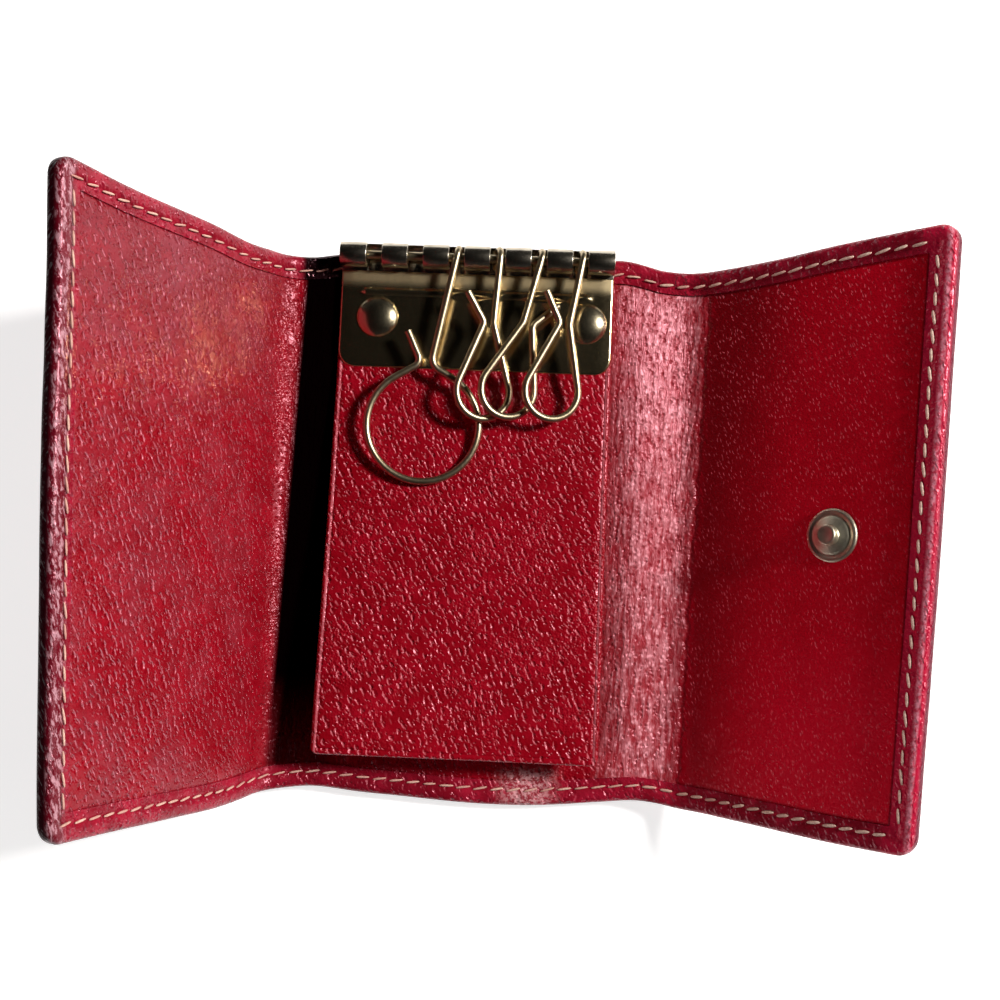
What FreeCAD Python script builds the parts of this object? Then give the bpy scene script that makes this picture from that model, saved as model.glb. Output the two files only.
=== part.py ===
import FreeCAD, Part
import math
import os

import Sketcher

# A trifold leather key case, open and lying on its back: a back panel with a riveted key plate, a leather
# flap and four wire hooks, and on each side a strip and a wing that fold over it and snap together.
# Millimetres and degrees. X points to the right wing, Y to the key plate's end, Z up from the surface that
# the back lies on. The origin is the centre of the back's outer face.

DRIVING_SIZES = (
    ("case_height", 100, "case along Y, which is also the length of every fold"),
    ("left_strip_width", 8, "side strip of the wing that closes first, fold to fold"),
    ("left_wing_short", 1, "left wing, less than the back's width"),
    ("right_wing_short", 7, "right wing, less than the back's width"),
    ("outer_leather", 1.0, "thickness of the outer leather, and of its turned edge"),
    ("board_thickness", 0.6, "card stiffener between the two leathers"),
    ("lining_thickness", 0.8, "lining leather"),
    ("hem_thickness", 0.8, "outer leather where it is skived and turned over the lining"),
    ("hem_width", 4.2, "hem on the inner face, from the edge"),
    ("corner_radius", 2.6, "outer corners of the wings"),
    ("fold_clearance", 0.1, "from a fold's axis to each panel's end"),
    ("board_margin", 3.5, "from a panel's edge to its card stiffener"),
    ("left_strip_angle", 12, "rest angle of the left strip above the back"),
    ("left_wing_angle", 51.5, "rest angle of the left wing past its strip"),
    ("right_strip_angle", 10, "rest angle of the right strip above the back"),
    ("right_wing_angle", 29, "rest angle of the right wing past its strip"),
    ("plate_width", 50, "key plate, its barrel and the leather flap along X"),
    ("plate_inset", 1.5, "key plate's ends from the back's two folds"),
    ("plate_height", 22.6, "key plate along Y, over its barrel"),
    ("barrel_overhang", 1.1, "barrel past the case's top edge"),
    ("barrel_radius", 2.25, "outside of the rolled barrel"),
    ("sheet_metal", 0.5, "thickness of the key plate"),
    ("plate_corner", 3, "lower corners of the key plate"),
    ("slot_count", 6, "hook slots in the barrel"),
    ("slot_inset", 6.25, "barrel's end to the middle of the nearest hook slot"),
    ("slot_width", 2.8, "hook slot along the barrel"),
    ("slot_run", 0.6, "hook slot past the barrel, into the plate"),
    ("rib_inset", 3.75, "key plate's end to the embossed rib"),
    ("rib_round", 0.75, "ends of the embossed rib"),
    ("rib_width", 1.6, "embossed rib along Y"),
    ("rib_rise", 0.4, "embossed rib above the plate"),
    ("rib_drop", 8.6, "barrel's top to the rib's middle"),
    ("rivet_left_inset", 7, "key plate's left end to the left rivet"),
    ("rivet_right_inset", 4.8, "key plate's right end to the right rivet"),
    ("rivet_drop", 13.2, "barrel's top to the rivets"),
    ("rivet_head_radius", 3.6, "domed rivet heads"),
    ("rivet_head_rise", 1.4, "rivet heads above the plate"),
    ("rivet_dome", 1.2, "rounding of the rivet heads"),
    ("rivet_radius", 1.2, "rivet shanks"),
    ("fixing_clearance", 0.05, "round every shank, in its holes"),
    ("washer_radius", 3.2, "rivet washers in the back's stiffener"),
    ("bar_radius", 0.8, "bar that the hooks turn on"),
    ("bar_collar", 3, "length of the bar's end collars"),
    ("bar_fit", 0.05, "bar's collars in the barrel"),
    ("bar_clearance", 0.14, "hook eyes round the bar"),
    ("flap_thickness", 1.2, "leather flap"),
    ("flap_end", 8.5, "flap's free end from the case's lower edge, if it lay flat"),
    ("flap_corner", 1.5, "lower corners of the flap"),
    ("flap_lift", 4.5, "rest angle of the flap above the back"),
    ("flap_gap", 0.1, "between the flap's riveted and free parts"),
    ("flap_tuck", 0.3, "between the flap's top end and the hem"),
    ("hook_wire", 1.3, "diameter of the hook wire"),
    ("eye_wrap", 250, "turn of a hook's eye round the bar"),
    ("gate_gap", 0.45, "between a hook's leg and its sprung gate"),
    ("gate_tip", 6.2, "gate's tip past the neck"),
    ("gate_flare", 36, "turn of the gate's tip away from the leg"),
    ("gate_bend", 1.6, "bend of the gate at the neck"),
    ("leg_bend", 2.4, "bend of the leg at the neck"),
    ("pear_neck_drop", 12.2, "pear hook, bar to neck"),
    ("pear_loop_drop", 24.7, "pear hook, bar to the loop's centre"),
    ("pear_loop_radius", 4.9, "pear hook, wire's middle round the loop"),
    ("pear_loop_shift", 0.2, "pear hook, loop off the neck's middle towards the leg"),
    ("ring_neck_drop", 20.4, "ring hook, bar to neck"),
    ("ring_loop_drop", 31.4, "ring hook, bar to the loop's centre"),
    ("ring_loop_radius", 10.1, "ring hook, wire's middle round the loop"),
    ("ring_loop_shift", 2, "ring hook, loop off the neck's middle towards the leg"),
    ("ring_hook_lean", 11, "rest lean to the left, in the back's plane"),
    ("ring_hook_dip", 1.5, "rest dip of the loop below the bar's level"),
    ("ring_hook_roll", 3.8, "rest roll that raises the left side"),
    ("pear_hook_left_lean", 3.5, "rest lean to the left, in the back's plane"),
    ("pear_hook_left_dip", 0.4, "rest dip of the loop below the bar's level"),
    ("pear_hook_left_roll", 18.5, "rest roll that raises the left side"),
    ("pear_hook_middle_lean", 13.5, "rest lean to the left, in the back's plane"),
    ("pear_hook_middle_dip", -1.6, "rest dip of the loop below the bar's level"),
    ("pear_hook_middle_roll", 16.5, "rest roll that raises the left side"),
    ("pear_hook_right_lean", 9.5, "rest lean to the left, in the back's plane"),
    ("pear_hook_right_dip", -1.0, "rest dip of the loop below the bar's level"),
    ("pear_hook_right_roll", 15, "rest roll that raises the left side"),
    ("stud_reach", 27.4, "right wing's fold to the snap stud"),
    ("snap_rise", 0.2, "snap above the middle of the case"),
    ("stud_flange_radius", 4.5, "snap stud's flange"),
    ("stud_flange_rise", 0.4, "thickness of that flange"),
    ("stud_step_radius", 3.1, "snap stud's step"),
    ("stud_step_rise", 0.35, "height of that step"),
    ("stud_neck_radius", 1.5, "snap stud's neck"),
    ("stud_neck_rise", 1.15, "height of that neck"),
    ("stud_head_radius", 1.7, "snap stud's head"),
    ("stud_head_rise", 0.7, "height of that head"),
    ("stud_round", 0.3, "rounding of that head"),
    ("snap_clearance", 0.15, "between the stud's step and the socket when closed"),
    ("socket_flange_radius", 5.2, "snap socket's flange"),
    ("socket_base", 0.3, "thickness of the socket's base"),
    ("socket_radius", 4.2, "snap socket's cup"),
    ("socket_rise", 2.2, "snap socket above the outer leather"),
    ("socket_lip", 0.4, "thickness of the lip round the socket's mouth"),
    ("socket_mouth", 1.95, "radius of the socket's mouth"),
    ("socket_cavity", 2.6, "radius of the socket's inside"),
    ("spring_wire", 0.25, "radius of the socket's spring wire"),
    ("spring_play", 0.1, "spring ring round the stud's neck"),
    ("eyelet_flange_radius", 3, "eyelets in the wings' stiffeners"),
    ("eyelet_radius", 0.9, "shanks of those eyelets"),
    ("eyelet_grip", 1.0, "eyelet's shank inside the stud"),
)

# Sizes that follow from the driving ones, each a formula on aliases that stand above it.
DERIVED_SIZES = (
    ("back_width", "plate_width + 2 * plate_inset"),
    ("left_wing_width", "back_width - left_wing_short"),
    ("right_wing_width", "back_width - right_wing_short"),
    ("lining_bottom", "outer_leather + board_thickness"),
    ("lining_top", "lining_bottom + lining_thickness"),
    ("panel_thickness", "lining_top + hem_thickness"),
    ("cavity_depth", "board_thickness + lining_thickness"),
    ("far_edge", "case_height - outer_leather"),
    ("far_hem", "case_height - hem_width"),
    ("edge_turn", "outer_leather + corner_radius"),
    ("far_turn", "far_edge - corner_radius"),
    ("far_board", "case_height - board_margin"),
    ("right_strip_width", "left_strip_width + lining_top + socket_rise + stud_flange_rise"
                          " + stud_step_rise + snap_clearance"),
    ("back_end", "back_width - fold_clearance"),
    ("back_board_end", "back_width - board_margin"),
    ("left_strip_end", "left_strip_width - fold_clearance"),
    ("right_strip_end", "right_strip_width - fold_clearance"),
    ("left_wing_wall", "left_wing_width - outer_leather"),
    ("left_wing_turn", "left_wing_wall - corner_radius"),
    ("left_wing_hem", "left_wing_width - hem_width"),
    ("left_wing_board_end", "left_wing_width - board_margin"),
    ("right_wing_wall", "right_wing_width - outer_leather"),
    ("right_wing_turn", "right_wing_wall - corner_radius"),
    ("right_wing_hem", "right_wing_width - hem_width"),
    ("right_wing_board_end", "right_wing_width - board_margin"),
    ("flap_hinge_y", "case_height / 2 + barrel_overhang - plate_height"),
    ("flap_length", "case_height / 2 + flap_hinge_y - flap_end"),
    ("flap_top", "lining_top + flap_thickness"),
    ("flap_root_length", "case_height / 2 - hem_width - flap_tuck - flap_hinge_y"),
    ("plate_reach", "plate_height - barrel_radius"),
    ("barrel_bore", "barrel_radius - sheet_metal"),
    ("slot_start", "plate_reach - barrel_radius - slot_run"),
    ("slot_left", "slot_inset - slot_width / 2"),
    ("slot_right", "slot_left + slot_width"),
    ("slot_span", "plate_width - 2 * slot_inset"),
    ("slot_pitch", "slot_span / (slot_count - 1)"),
    ("rib_right", "plate_width - rib_inset"),
    ("rib_low", "plate_height - rib_drop - rib_width / 2"),
    ("rib_high", "rib_low + rib_width"),
    ("rivet_right_x", "plate_width - rivet_right_inset"),
    ("rivet_y", "plate_height - rivet_drop"),
    ("rivet_hole", "rivet_radius + fixing_clearance"),
    ("rivet_shank", "cavity_depth + flap_thickness + sheet_metal"),
    ("rivet_top", "rivet_shank + rivet_head_rise"),
    ("washer_hole", "washer_radius + fixing_clearance"),
    ("back_rivet_left", "plate_inset + rivet_left_inset"),
    ("back_rivet_right", "plate_inset + rivet_right_x"),
    ("back_rivet_y", "case_height / 2 + flap_hinge_y + rivet_y"),
    ("bar_collar_radius", "barrel_bore - bar_fit"),
    ("bar_far_collar", "plate_width - bar_collar"),
    ("bar_y", "flap_hinge_y + plate_reach"),
    ("bar_z", "flap_top + barrel_radius"),
    ("eye_radius", "bar_radius + bar_clearance + hook_wire / 2"),
    ("socket_reach", "back_width - stud_reach"),
    ("stud_y", "case_height / 2 + snap_rise"),
    ("socket_y", "case_height / 2 - snap_rise"),
    ("eyelet_hole", "eyelet_radius + fixing_clearance"),
    ("eyelet_flange_hole", "eyelet_flange_radius + fixing_clearance"),
    ("stud_step_top", "stud_flange_rise + stud_step_rise"),
    ("stud_neck_top", "stud_step_top + stud_neck_rise"),
    ("stud_top", "stud_neck_top + stud_head_rise"),
    ("stud_bore_depth", "eyelet_grip + fixing_clearance"),
    ("stud_eyelet_top", "cavity_depth + eyelet_grip"),
    ("socket_eyelet_top", "board_thickness + outer_leather + socket_base"),
    ("socket_lip_bottom", "socket_rise - socket_lip"),
    ("spring_ring", "stud_neck_radius + spring_play + spring_wire"),
    ("spring_level", "socket_lip_bottom - fixing_clearance - spring_wire"),
)

X_AXIS = FreeCAD.Vector(1, 0, 0)
Y_AXIS = FreeCAD.Vector(0, 1, 0)
Z_AXIS = FreeCAD.Vector(0, 0, 1)
ORIGIN_POINT = (-1, 1)
SKETCH_AXIS = {"horizontal": -1, "vertical": -2}
SKETCH_POINT = {"start": 1, "end": 2, "centre": 3}
THROUGH_ALL = 1
PLACE_TOLERANCE_SHARE = 1e-4


def make_sheet(doc):
    """Fills the sheet with the driving sizes, then with the ones that follow from them."""
    sheet = doc.addObject("Spreadsheet::Sheet", "Sizes")
    row = 0
    for alias, value, meaning in DRIVING_SIZES:
        row += 1
        sheet.set(f"A{row}", meaning)
        sheet.set(f"B{row}", str(value))
        sheet.setAlias(f"B{row}", alias)
    for alias, formula in DERIVED_SIZES:
        row += 1
        sheet.set(f"B{row}", "=" + formula)
        sheet.setAlias(f"B{row}", alias)
    doc.recompute()
    return sheet


def moved(x=0, y=0, z=0):
    """A placement that only shifts."""
    return FreeCAD.Placement(FreeCAD.Vector(x, y, z), FreeCAD.Rotation())


def turned_about(axis, degrees):
    """A placement that only turns, about an axis through the origin."""
    return FreeCAD.Placement(FreeCAD.Vector(), FreeCAD.Rotation(axis, degrees))


class CaseBuilder:
    """Builds the sub-parts of the case in one document, all bound to one sheet of sizes."""

    def __init__(self):
        self.doc = FreeCAD.newDocument("KeyCase")
        self.sheet = make_sheet(self.doc)
        self.nodes = []

    def size(self, alias):
        """The number behind an alias of the sheet."""
        return float(self.sheet.get(alias))

    def bind(self, thing, prop, alias):
        """Ties a property of an object to a size in the sheet."""
        thing.setExpression(prop, f"Sizes.{alias}")

    # Sketches and features

    def new_body(self, label, placement):
        """An empty body with its node's name, in its place."""
        body = self.doc.addObject("PartDesign::Body", label)
        body.Label = label
        body.Placement = placement
        self.nodes.append(body)
        return body

    def new_sketch(self, body, role, lift=None):
        """A sketch on one of the body's own origin planes, raised by a size if one is given."""
        sketch = body.newObject("Sketcher::SketchObject", body.Name + "Sketch")
        plane = next(f for f in body.Origin.OriginFeatures if f.Role == role)
        sketch.AttachmentSupport = (plane, [""])
        sketch.MapMode = "FlatFace"
        if lift:
            self.bind(sketch, "AttachmentOffset.Base.z", lift)
        return sketch

    def place_point(self, sketch, element, point, x, y):
        """Ties a point to its two sizes, measured from the sketch's origin. None stands for an axis."""
        for kind, alias, axis in (("DistanceX", x, "vertical"), ("DistanceY", y, "horizontal")):
            if alias is None:
                rule = Sketcher.Constraint("PointOnObject", element, SKETCH_POINT[point], SKETCH_AXIS[axis])
                sketch.addConstraint(rule)
            else:
                value = self.size(alias)
                rule = Sketcher.Constraint(kind, *ORIGIN_POINT, element, SKETCH_POINT[point], value)
                self.bind(sketch, f"Constraints[{sketch.addConstraint(rule)}]", alias)

    def draw_outline(self, sketch, corners):
        """A closed outline of straight lines through corners, each a pair of sizes or None."""
        points = [FreeCAD.Vector(*(self.size(a) if a else 0 for a in pair), 0) for pair in corners]
        first = sketch.GeometryCount
        for start, end in zip(points, points[1:] + points[:1]):
            sketch.addGeometry(Part.LineSegment(start, end))
        for index, (x, y) in enumerate(corners):
            before = first + (index - 1) % len(corners)
            ends = (before, SKETCH_POINT["end"], first + index, SKETCH_POINT["start"])
            sketch.addConstraint(Sketcher.Constraint("Coincident", *ends))
            self.place_point(sketch, first + index, "start", x, y)

    def draw_circle(self, sketch, x, y, radius):
        """A circle about a point that two sizes place."""
        centre = FreeCAD.Vector(*(self.size(a) if a else 0 for a in (x, y)), 0)
        index = sketch.addGeometry(Part.Circle(centre, Z_AXIS, self.size(radius)))
        self.place_point(sketch, index, "centre", x, y)
        rule = sketch.addConstraint(Sketcher.Constraint("Radius", index, self.size(radius)))
        self.bind(sketch, f"Constraints[{rule}]", radius)

    def rectangle(self, body, role, low_x, high_x, low_y, high_y, lift=None):
        """A sketch of a rectangle between four sizes."""
        sketch = self.new_sketch(body, role, lift)
        self.draw_outline(sketch, ((low_x, low_y), (high_x, low_y), (high_x, high_y), (low_x, high_y)))
        return sketch

    def pad(self, body, sketch, length):
        """Raises a sketch by a size."""
        feature = body.newObject("PartDesign::Pad", body.Name + "Pad")
        feature.Profile = sketch
        self.bind(feature, "Length", length)
        self.doc.recompute()
        return feature

    def pocket(self, body, sketch, depth=None):
        """Cuts a sketch upwards, by a size or right through."""
        feature = body.newObject("PartDesign::Pocket", body.Name + "Pocket")
        feature.Profile = sketch
        feature.Reversed = True
        if depth:
            self.bind(feature, "Length", depth)
        else:
            feature.Type = THROUGH_ALL
        self.doc.recompute()
        return feature

    def drill(self, body, radius, places):
        """Round holes right through a flat body, at pairs of sizes."""
        sketch = self.new_sketch(body, "XY_Plane")
        for x, y in places:
            self.draw_circle(sketch, x, y, radius)
        return self.pocket(body, sketch)

    def round_edges(self, body, feature, radius, chosen):
        """Rounds the edges of a feature that a test picks."""
        names = [f"Edge{i}" for i, edge in enumerate(feature.Shape.Edges, start=1) if chosen(edge)]
        fillet = body.newObject("PartDesign::Fillet", body.Name + "Fillet")
        fillet.Base = (feature, names)
        self.bind(fillet, "Radius", radius)
        self.doc.recompute()
        return fillet

    def upright_at(self, axis, alias):
        """A test for edges along Z at one place on X or Y."""
        place = self.size(alias) if alias else 0
        slack = self.size("case_height") * PLACE_TOLERANCE_SHARE

        def chosen(edge):
            ends = [vertex.Point for vertex in edge.Vertexes]
            across = [abs(getattr(p, axis) - place) < slack for p in ends]
            return len(ends) == 2 and all(across) and abs(ends[0].z - ends[1].z) > slack
        return chosen

    def rim_at(self, level):
        """A test for round edges at one height."""
        height = self.size(level)
        slack = self.size("case_height") * PLACE_TOLERANCE_SHARE

        def chosen(edge):
            box = edge.BoundBox
            return abs(box.ZMin - height) < slack and abs(box.ZMax - height) < slack and box.XLength > slack
        return chosen

    def turned_part(self, label, placement, corners):
        """A piece turned about its own Z axis, from an outline of radius and height."""
        body = self.new_body(label, placement)
        sketch = self.new_sketch(body, "XZ_Plane")
        self.draw_outline(sketch, corners)
        self.revolve(body, sketch, "V_Axis")
        return body

    def revolve(self, body, sketch, axis):
        """Turns a sketch once round one of its own axes."""
        feature = body.newObject("PartDesign::Revolution", body.Name + "Revolution")
        feature.Profile = sketch
        feature.ReferenceAxis = (sketch, [axis])
        feature.Angle = 360
        self.doc.recompute()
        return feature

    # Places of the folding panels

    def panel_places(self):
        """Where each panel's outer face starts, as its fold's axis lies on the inner face of the hems."""
        half_back = self.size("back_width") / 2
        height = self.size("panel_thickness")
        seat = moved(y=-self.size("case_height") / 2, z=-height)
        places = {"back": moved(x=-half_back, z=height) * seat}
        for side, facing in (("left", 180), ("right", 0)):
            reach = moved(x=-half_back if side == "left" else half_back, z=height)
            strip = reach * turned_about(Z_AXIS, facing)
            strip = strip * turned_about(Y_AXIS, -self.size(f"{side}_strip_angle"))
            wing = strip * moved(x=self.size(f"{side}_strip_width"))
            wing = wing * turned_about(Y_AXIS, -self.size(f"{side}_wing_angle"))
            places[f"{side}_strip"] = strip * seat
            places[f"{side}_wing"] = wing * seat
        return places

    # Leather panels

    def open_shell(self, label, placement, width, end):
        """Outer leather of a panel between two folds, with a hem along its top and bottom edges."""
        body = self.new_body(label, placement)
        outline = self.rectangle(body, "XY_Plane", "fold_clearance", end, None, "case_height")
        self.pad(body, outline, "panel_thickness")
        cavity = self.rectangle(body, "XY_Plane", None, width, "outer_leather", "far_edge", "outer_leather")
        self.pocket(body, cavity, "cavity_depth")
        window = self.rectangle(body, "XY_Plane", None, width, "hem_width", "far_hem", "lining_top")
        self.pocket(body, window, "hem_thickness")
        return body

    def wing_shell(self, label, placement, wing):
        """Outer leather of a wing, with a hem along its three free edges and rounded corners."""
        body = self.new_body(label, placement)
        width = f"{wing}_width"
        outline = self.rectangle(body, "XY_Plane", "fold_clearance", width, None, "case_height")
        panel = self.pad(body, outline, "panel_thickness")
        self.round_edges(body, panel, "corner_radius", self.upright_at("x", width))
        cavity = self.new_sketch(body, "XY_Plane", "outer_leather")
        self.draw_outline(cavity, self.lining_corners(wing, None))
        self.pocket(body, cavity, "cavity_depth")
        window = self.rectangle(body, "XY_Plane", None, f"{wing}_hem", "hem_width", "far_hem", "lining_top")
        self.pocket(body, window, "hem_thickness")
        return body

    def lining_corners(self, wing, start):
        """The outline of a wing's lining, with its two free corners cut off inside the turned edge."""
        wall, turn = f"{wing}_wall", f"{wing}_turn"
        return ((start, "outer_leather"), (turn, "outer_leather"), (wall, "edge_turn"),
                (wall, "far_turn"), (turn, "far_edge"), (start, "far_edge"))

    def open_lining(self, label, placement, end):
        """Lining of a panel between two folds."""
        body = self.new_body(label, placement)
        sketch = self.rectangle(body, "XY_Plane", "fold_clearance", end, "outer_leather", "far_edge",
                                "lining_bottom")
        self.pad(body, sketch, "lining_thickness")
        return body

    def wing_lining(self, label, placement, wing):
        """Lining of a wing."""
        body = self.new_body(label, placement)
        sketch = self.new_sketch(body, "XY_Plane", "lining_bottom")
        self.draw_outline(sketch, self.lining_corners(wing, "fold_clearance"))
        self.pad(body, sketch, "lining_thickness")
        return body

    def stiffener(self, label, placement, end):
        """Card between the leathers of a panel."""
        body = self.new_body(label, placement)
        sketch = self.rectangle(body, "XY_Plane", "board_margin", end, "board_margin", "far_board",
                                "outer_leather")
        self.pad(body, sketch, "board_thickness")
        return body

    def panels(self, places):
        """The back, and on each side a strip and a wing."""
        rivets = (("back_rivet_left", "back_rivet_y"), ("back_rivet_right", "back_rivet_y"))
        self.open_shell("back_leather", places["back"], "back_width", "back_end")
        self.drill(self.stiffener("back_board", places["back"], "back_board_end"), "washer_hole", rivets)
        self.drill(self.open_lining("back_lining", places["back"], "back_end"), "rivet_hole", rivets)
        snaps = {"left": ("socket_reach", "socket_y"), "right": ("stud_reach", "stud_y")}
        for side, snap in snaps.items():
            strip, wing = f"{side}_strip", f"{side}_wing"
            self.open_shell(f"{strip}_leather", places[strip], f"{strip}_width", f"{strip}_end")
            self.open_lining(f"{strip}_lining", places[strip], f"{strip}_end")
            shell = self.wing_shell(f"{wing}_leather", places[wing], wing)
            board = self.stiffener(f"{wing}_board", places[wing], f"{wing}_board_end")
            lining = self.wing_lining(f"{wing}_lining", places[wing], wing)
            self.drill(board, "eyelet_flange_hole", (snap,))
            self.drill(shell if side == "left" else lining, "eyelet_hole", (snap,))

    # Key plate, bar, rivets and flap

    def key_plate(self):
        """Sheet metal rolled into a barrel, with hook slots, a rib and rivet holes."""
        place = moved(-self.size("plate_width") / 2, self.size("flap_hinge_y"), self.size("flap_top"))
        body = self.new_body("hook_plate", place)
        sheet = self.rectangle(body, "XY_Plane", None, "plate_width", None, "plate_reach")
        flat = self.pad(body, sheet, "sheet_metal")
        self.round_edges(body, flat, "plate_corner", self.upright_at("y", None))
        roll = self.new_sketch(body, "YZ_Plane")
        self.draw_circle(roll, "plate_reach", "barrel_radius", "barrel_radius")
        self.draw_circle(roll, "plate_reach", "barrel_radius", "barrel_bore")
        self.pad(body, roll, "plate_width")
        rib = self.rectangle(body, "XY_Plane", "rib_inset", "rib_right", "rib_low", "rib_high", "sheet_metal")
        emboss = self.pad(body, rib, "rib_rise")
        for end in ("rib_inset", "rib_right"):
            emboss = self.round_edges(body, emboss, "rib_round", self.upright_at("x", end))
        rivets = (("rivet_left_inset", "rivet_y"), ("rivet_right_x", "rivet_y"))
        self.drill(body, "rivet_hole", rivets)
        slot = self.rectangle(body, "XY_Plane", "slot_left", "slot_right", "slot_start", "plate_height")
        cut = self.pocket(body, slot)
        pattern = body.newObject("PartDesign::LinearPattern", "SlotPattern")
        pattern.Originals = [cut]
        pattern.Direction = (slot, ["H_Axis"])
        self.bind(pattern, "Length", "slot_span")
        self.bind(pattern, "Occurrences", "slot_count")
        body.Tip = pattern
        self.doc.recompute()

    def hook_bar(self):
        """The bar in the barrel, with a collar at each end that seats in the barrel's bore."""
        place = moved(-self.size("plate_width") / 2, self.size("bar_y"), self.size("bar_z"))
        body = self.new_body("hook_bar", place)
        sketch = self.new_sketch(body, "XY_Plane")
        self.draw_outline(sketch, (
            (None, None), ("plate_width", None), ("plate_width", "bar_collar_radius"),
            ("bar_far_collar", "bar_collar_radius"), ("bar_far_collar", "bar_radius"),
            ("bar_collar", "bar_radius"), ("bar_collar", "bar_collar_radius"), (None, "bar_collar_radius")))
        self.revolve(body, sketch, "H_Axis")

    def rivets(self):
        """Two domed rivets, each through a washer that is let into the back's stiffener."""
        plate_end = -self.size("plate_width") / 2
        for side, reach in (("left", "rivet_left_inset"), ("right", "rivet_right_x")):
            place = moved(plate_end + self.size(reach), self.size("flap_hinge_y") + self.size("rivet_y"),
                          self.size("outer_leather"))
            rivet = self.turned_part(f"rivet_{side}", place, (
                (None, None), ("rivet_radius", None), ("rivet_radius", "rivet_shank"),
                ("rivet_head_radius", "rivet_shank"), ("rivet_head_radius", "rivet_top"), (None, "rivet_top")))
            self.round_edges(rivet, rivet.Tip, "rivet_dome", self.rim_at("rivet_top"))
            self.turned_part(f"washer_{side}", place, (
                ("rivet_hole", None), ("washer_radius", None),
                ("washer_radius", "board_thickness"), ("rivet_hole", "board_thickness")))

    def flap(self):
        """The leather flap: a part riveted under the plate, and a free part that lifts below it."""
        width, hinge_y = self.size("plate_width"), self.size("flap_hinge_y")
        root = self.new_body("flap_root", moved(-width / 2, hinge_y, self.size("lining_top")))
        sketch = self.rectangle(root, "XY_Plane", None, "plate_width", None, "flap_root_length")
        self.pad(root, sketch, "flap_thickness")
        self.drill(root, "rivet_hole", (("rivet_left_inset", "rivet_y"), ("rivet_right_x", "rivet_y")))
        place = moved(-width / 2, hinge_y, self.size("flap_top"))
        place = place * turned_about(X_AXIS, -self.size("flap_lift"))
        drop = self.size("flap_length") + self.size("flap_gap")
        tongue = self.new_body("key_flap", place * moved(y=-drop, z=-self.size("flap_thickness")))
        sketch = self.rectangle(tongue, "XY_Plane", None, "plate_width", None, "flap_length")
        sheet = self.pad(tongue, sketch, "flap_thickness")
        self.round_edges(tongue, sheet, "flap_corner", self.upright_at("y", None))

    # Wire hooks

    def bend(self, before, corner, after, radius):
        """Where an arc of a radius leaves one run, is halfway and joins the next run, at a corner."""
        arrive = (corner - before).normalize()
        leave = (after - corner).normalize()
        half_turn = arrive.getAngle(leave) / 2
        back = radius * math.tan(half_turn)
        inward = (leave - arrive).normalize()
        middle = corner + inward * (radius / math.cos(half_turn) - radius)
        return corner - arrive * back, middle, corner + leave * back

    def hook_route(self, kind, side):
        """The middle of a hook's wire: eye round the bar, leg, loop, then the gate back to the neck."""
        eye = self.size("eye_radius")
        gate = self.size("hook_wire") + self.size("gate_gap")
        neck, drop = self.size(f"{kind}_neck_drop"), self.size(f"{kind}_loop_drop")
        radius = self.size(f"{kind}_loop_radius")

        def at(across, down):
            return FreeCAD.Vector(side * across, -down, eye)

        def round_bar(degrees):
            turn = math.radians(degrees)
            return FreeCAD.Vector(0, eye * math.sin(turn), eye * math.cos(turn))
        centre = self.size(f"{kind}_loop_shift") - gate / 2

        def touch(across, way):
            apart = math.hypot(across - centre, drop - neck)
            turn = math.atan2(across - centre, drop - neck) + way * math.acos(radius / apart)
            return at(centre + radius * math.sin(turn), drop - radius * math.cos(turn))
        near, far = touch(0, 1), touch(-gate, -1)
        flare = math.radians(self.size("gate_flare"))
        tip = self.size("gate_tip")
        end = at(-gate - tip * math.sin(flare), neck - tip * math.cos(flare))
        start = at(0, 0)
        leg = self.bend(start, at(0, neck), near, self.size("leg_bend"))
        pinch = self.bend(far, at(-gate, neck), end, self.size("gate_bend"))
        wrap = self.size("eye_wrap")
        return Part.Wire([
            Part.Arc(round_bar(wrap), round_bar(wrap / 2), start).toShape(),
            Part.LineSegment(start, leg[0]).toShape(),
            Part.Arc(*leg).toShape(),
            Part.LineSegment(leg[-1], near).toShape(),
            Part.Arc(near, at(centre, drop + radius), far).toShape(),
            Part.LineSegment(far, pinch[0]).toShape(),
            Part.Arc(*pinch).toShape(),
            Part.LineSegment(pinch[-1], end).toShape()])

    def hook(self, label, kind, slot, side):
        """A wire hook that rests in one slot of the barrel. A side of -1 has its gate on the right."""
        middle = (self.size("slot_count") - 1) / 2
        place = moved((slot - middle) * self.size("slot_pitch"), self.size("bar_y"), self.size("bar_z"))
        place = place * turned_about(Z_AXIS, -self.size(f"{label}_lean"))
        place = place * turned_about(X_AXIS, self.size(f"{label}_dip"))
        place = place * turned_about(Y_AXIS, self.size(f"{label}_roll"))
        route = self.doc.addObject("Part::Feature", label + "_route")
        route.Shape = self.hook_route(kind, side)
        first = route.Shape.Edges[0]
        start, along = first.Vertexes[0].Point, first.tangentAt(first.FirstParameter)
        route.Placement = place
        section = self.doc.addObject("Part::Circle", label + "_section")
        section.setExpression("Radius", "Sizes.hook_wire / 2")
        section.Placement = place * FreeCAD.Placement(start, FreeCAD.Rotation(Z_AXIS, along))
        sweep = self.doc.addObject("Part::Sweep", label)
        sweep.Label = label
        sweep.Sections = [section]
        sweep.Spine = (route, [f"Edge{i}" for i in range(1, len(route.Shape.Edges) + 1)])
        sweep.Solid = True
        sweep.Frenet = False
        self.nodes.append(sweep)

    def hooks(self):
        """One ring hook and three pear hooks. The first two slots of the barrel are empty."""
        self.hook("ring_hook", "ring", 2, 1)
        self.hook("pear_hook_left", "pear", 3, 1)
        self.hook("pear_hook_middle", "pear", 4, -1)
        self.hook("pear_hook_right", "pear", 5, 1)

    # Snap fastener

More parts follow.
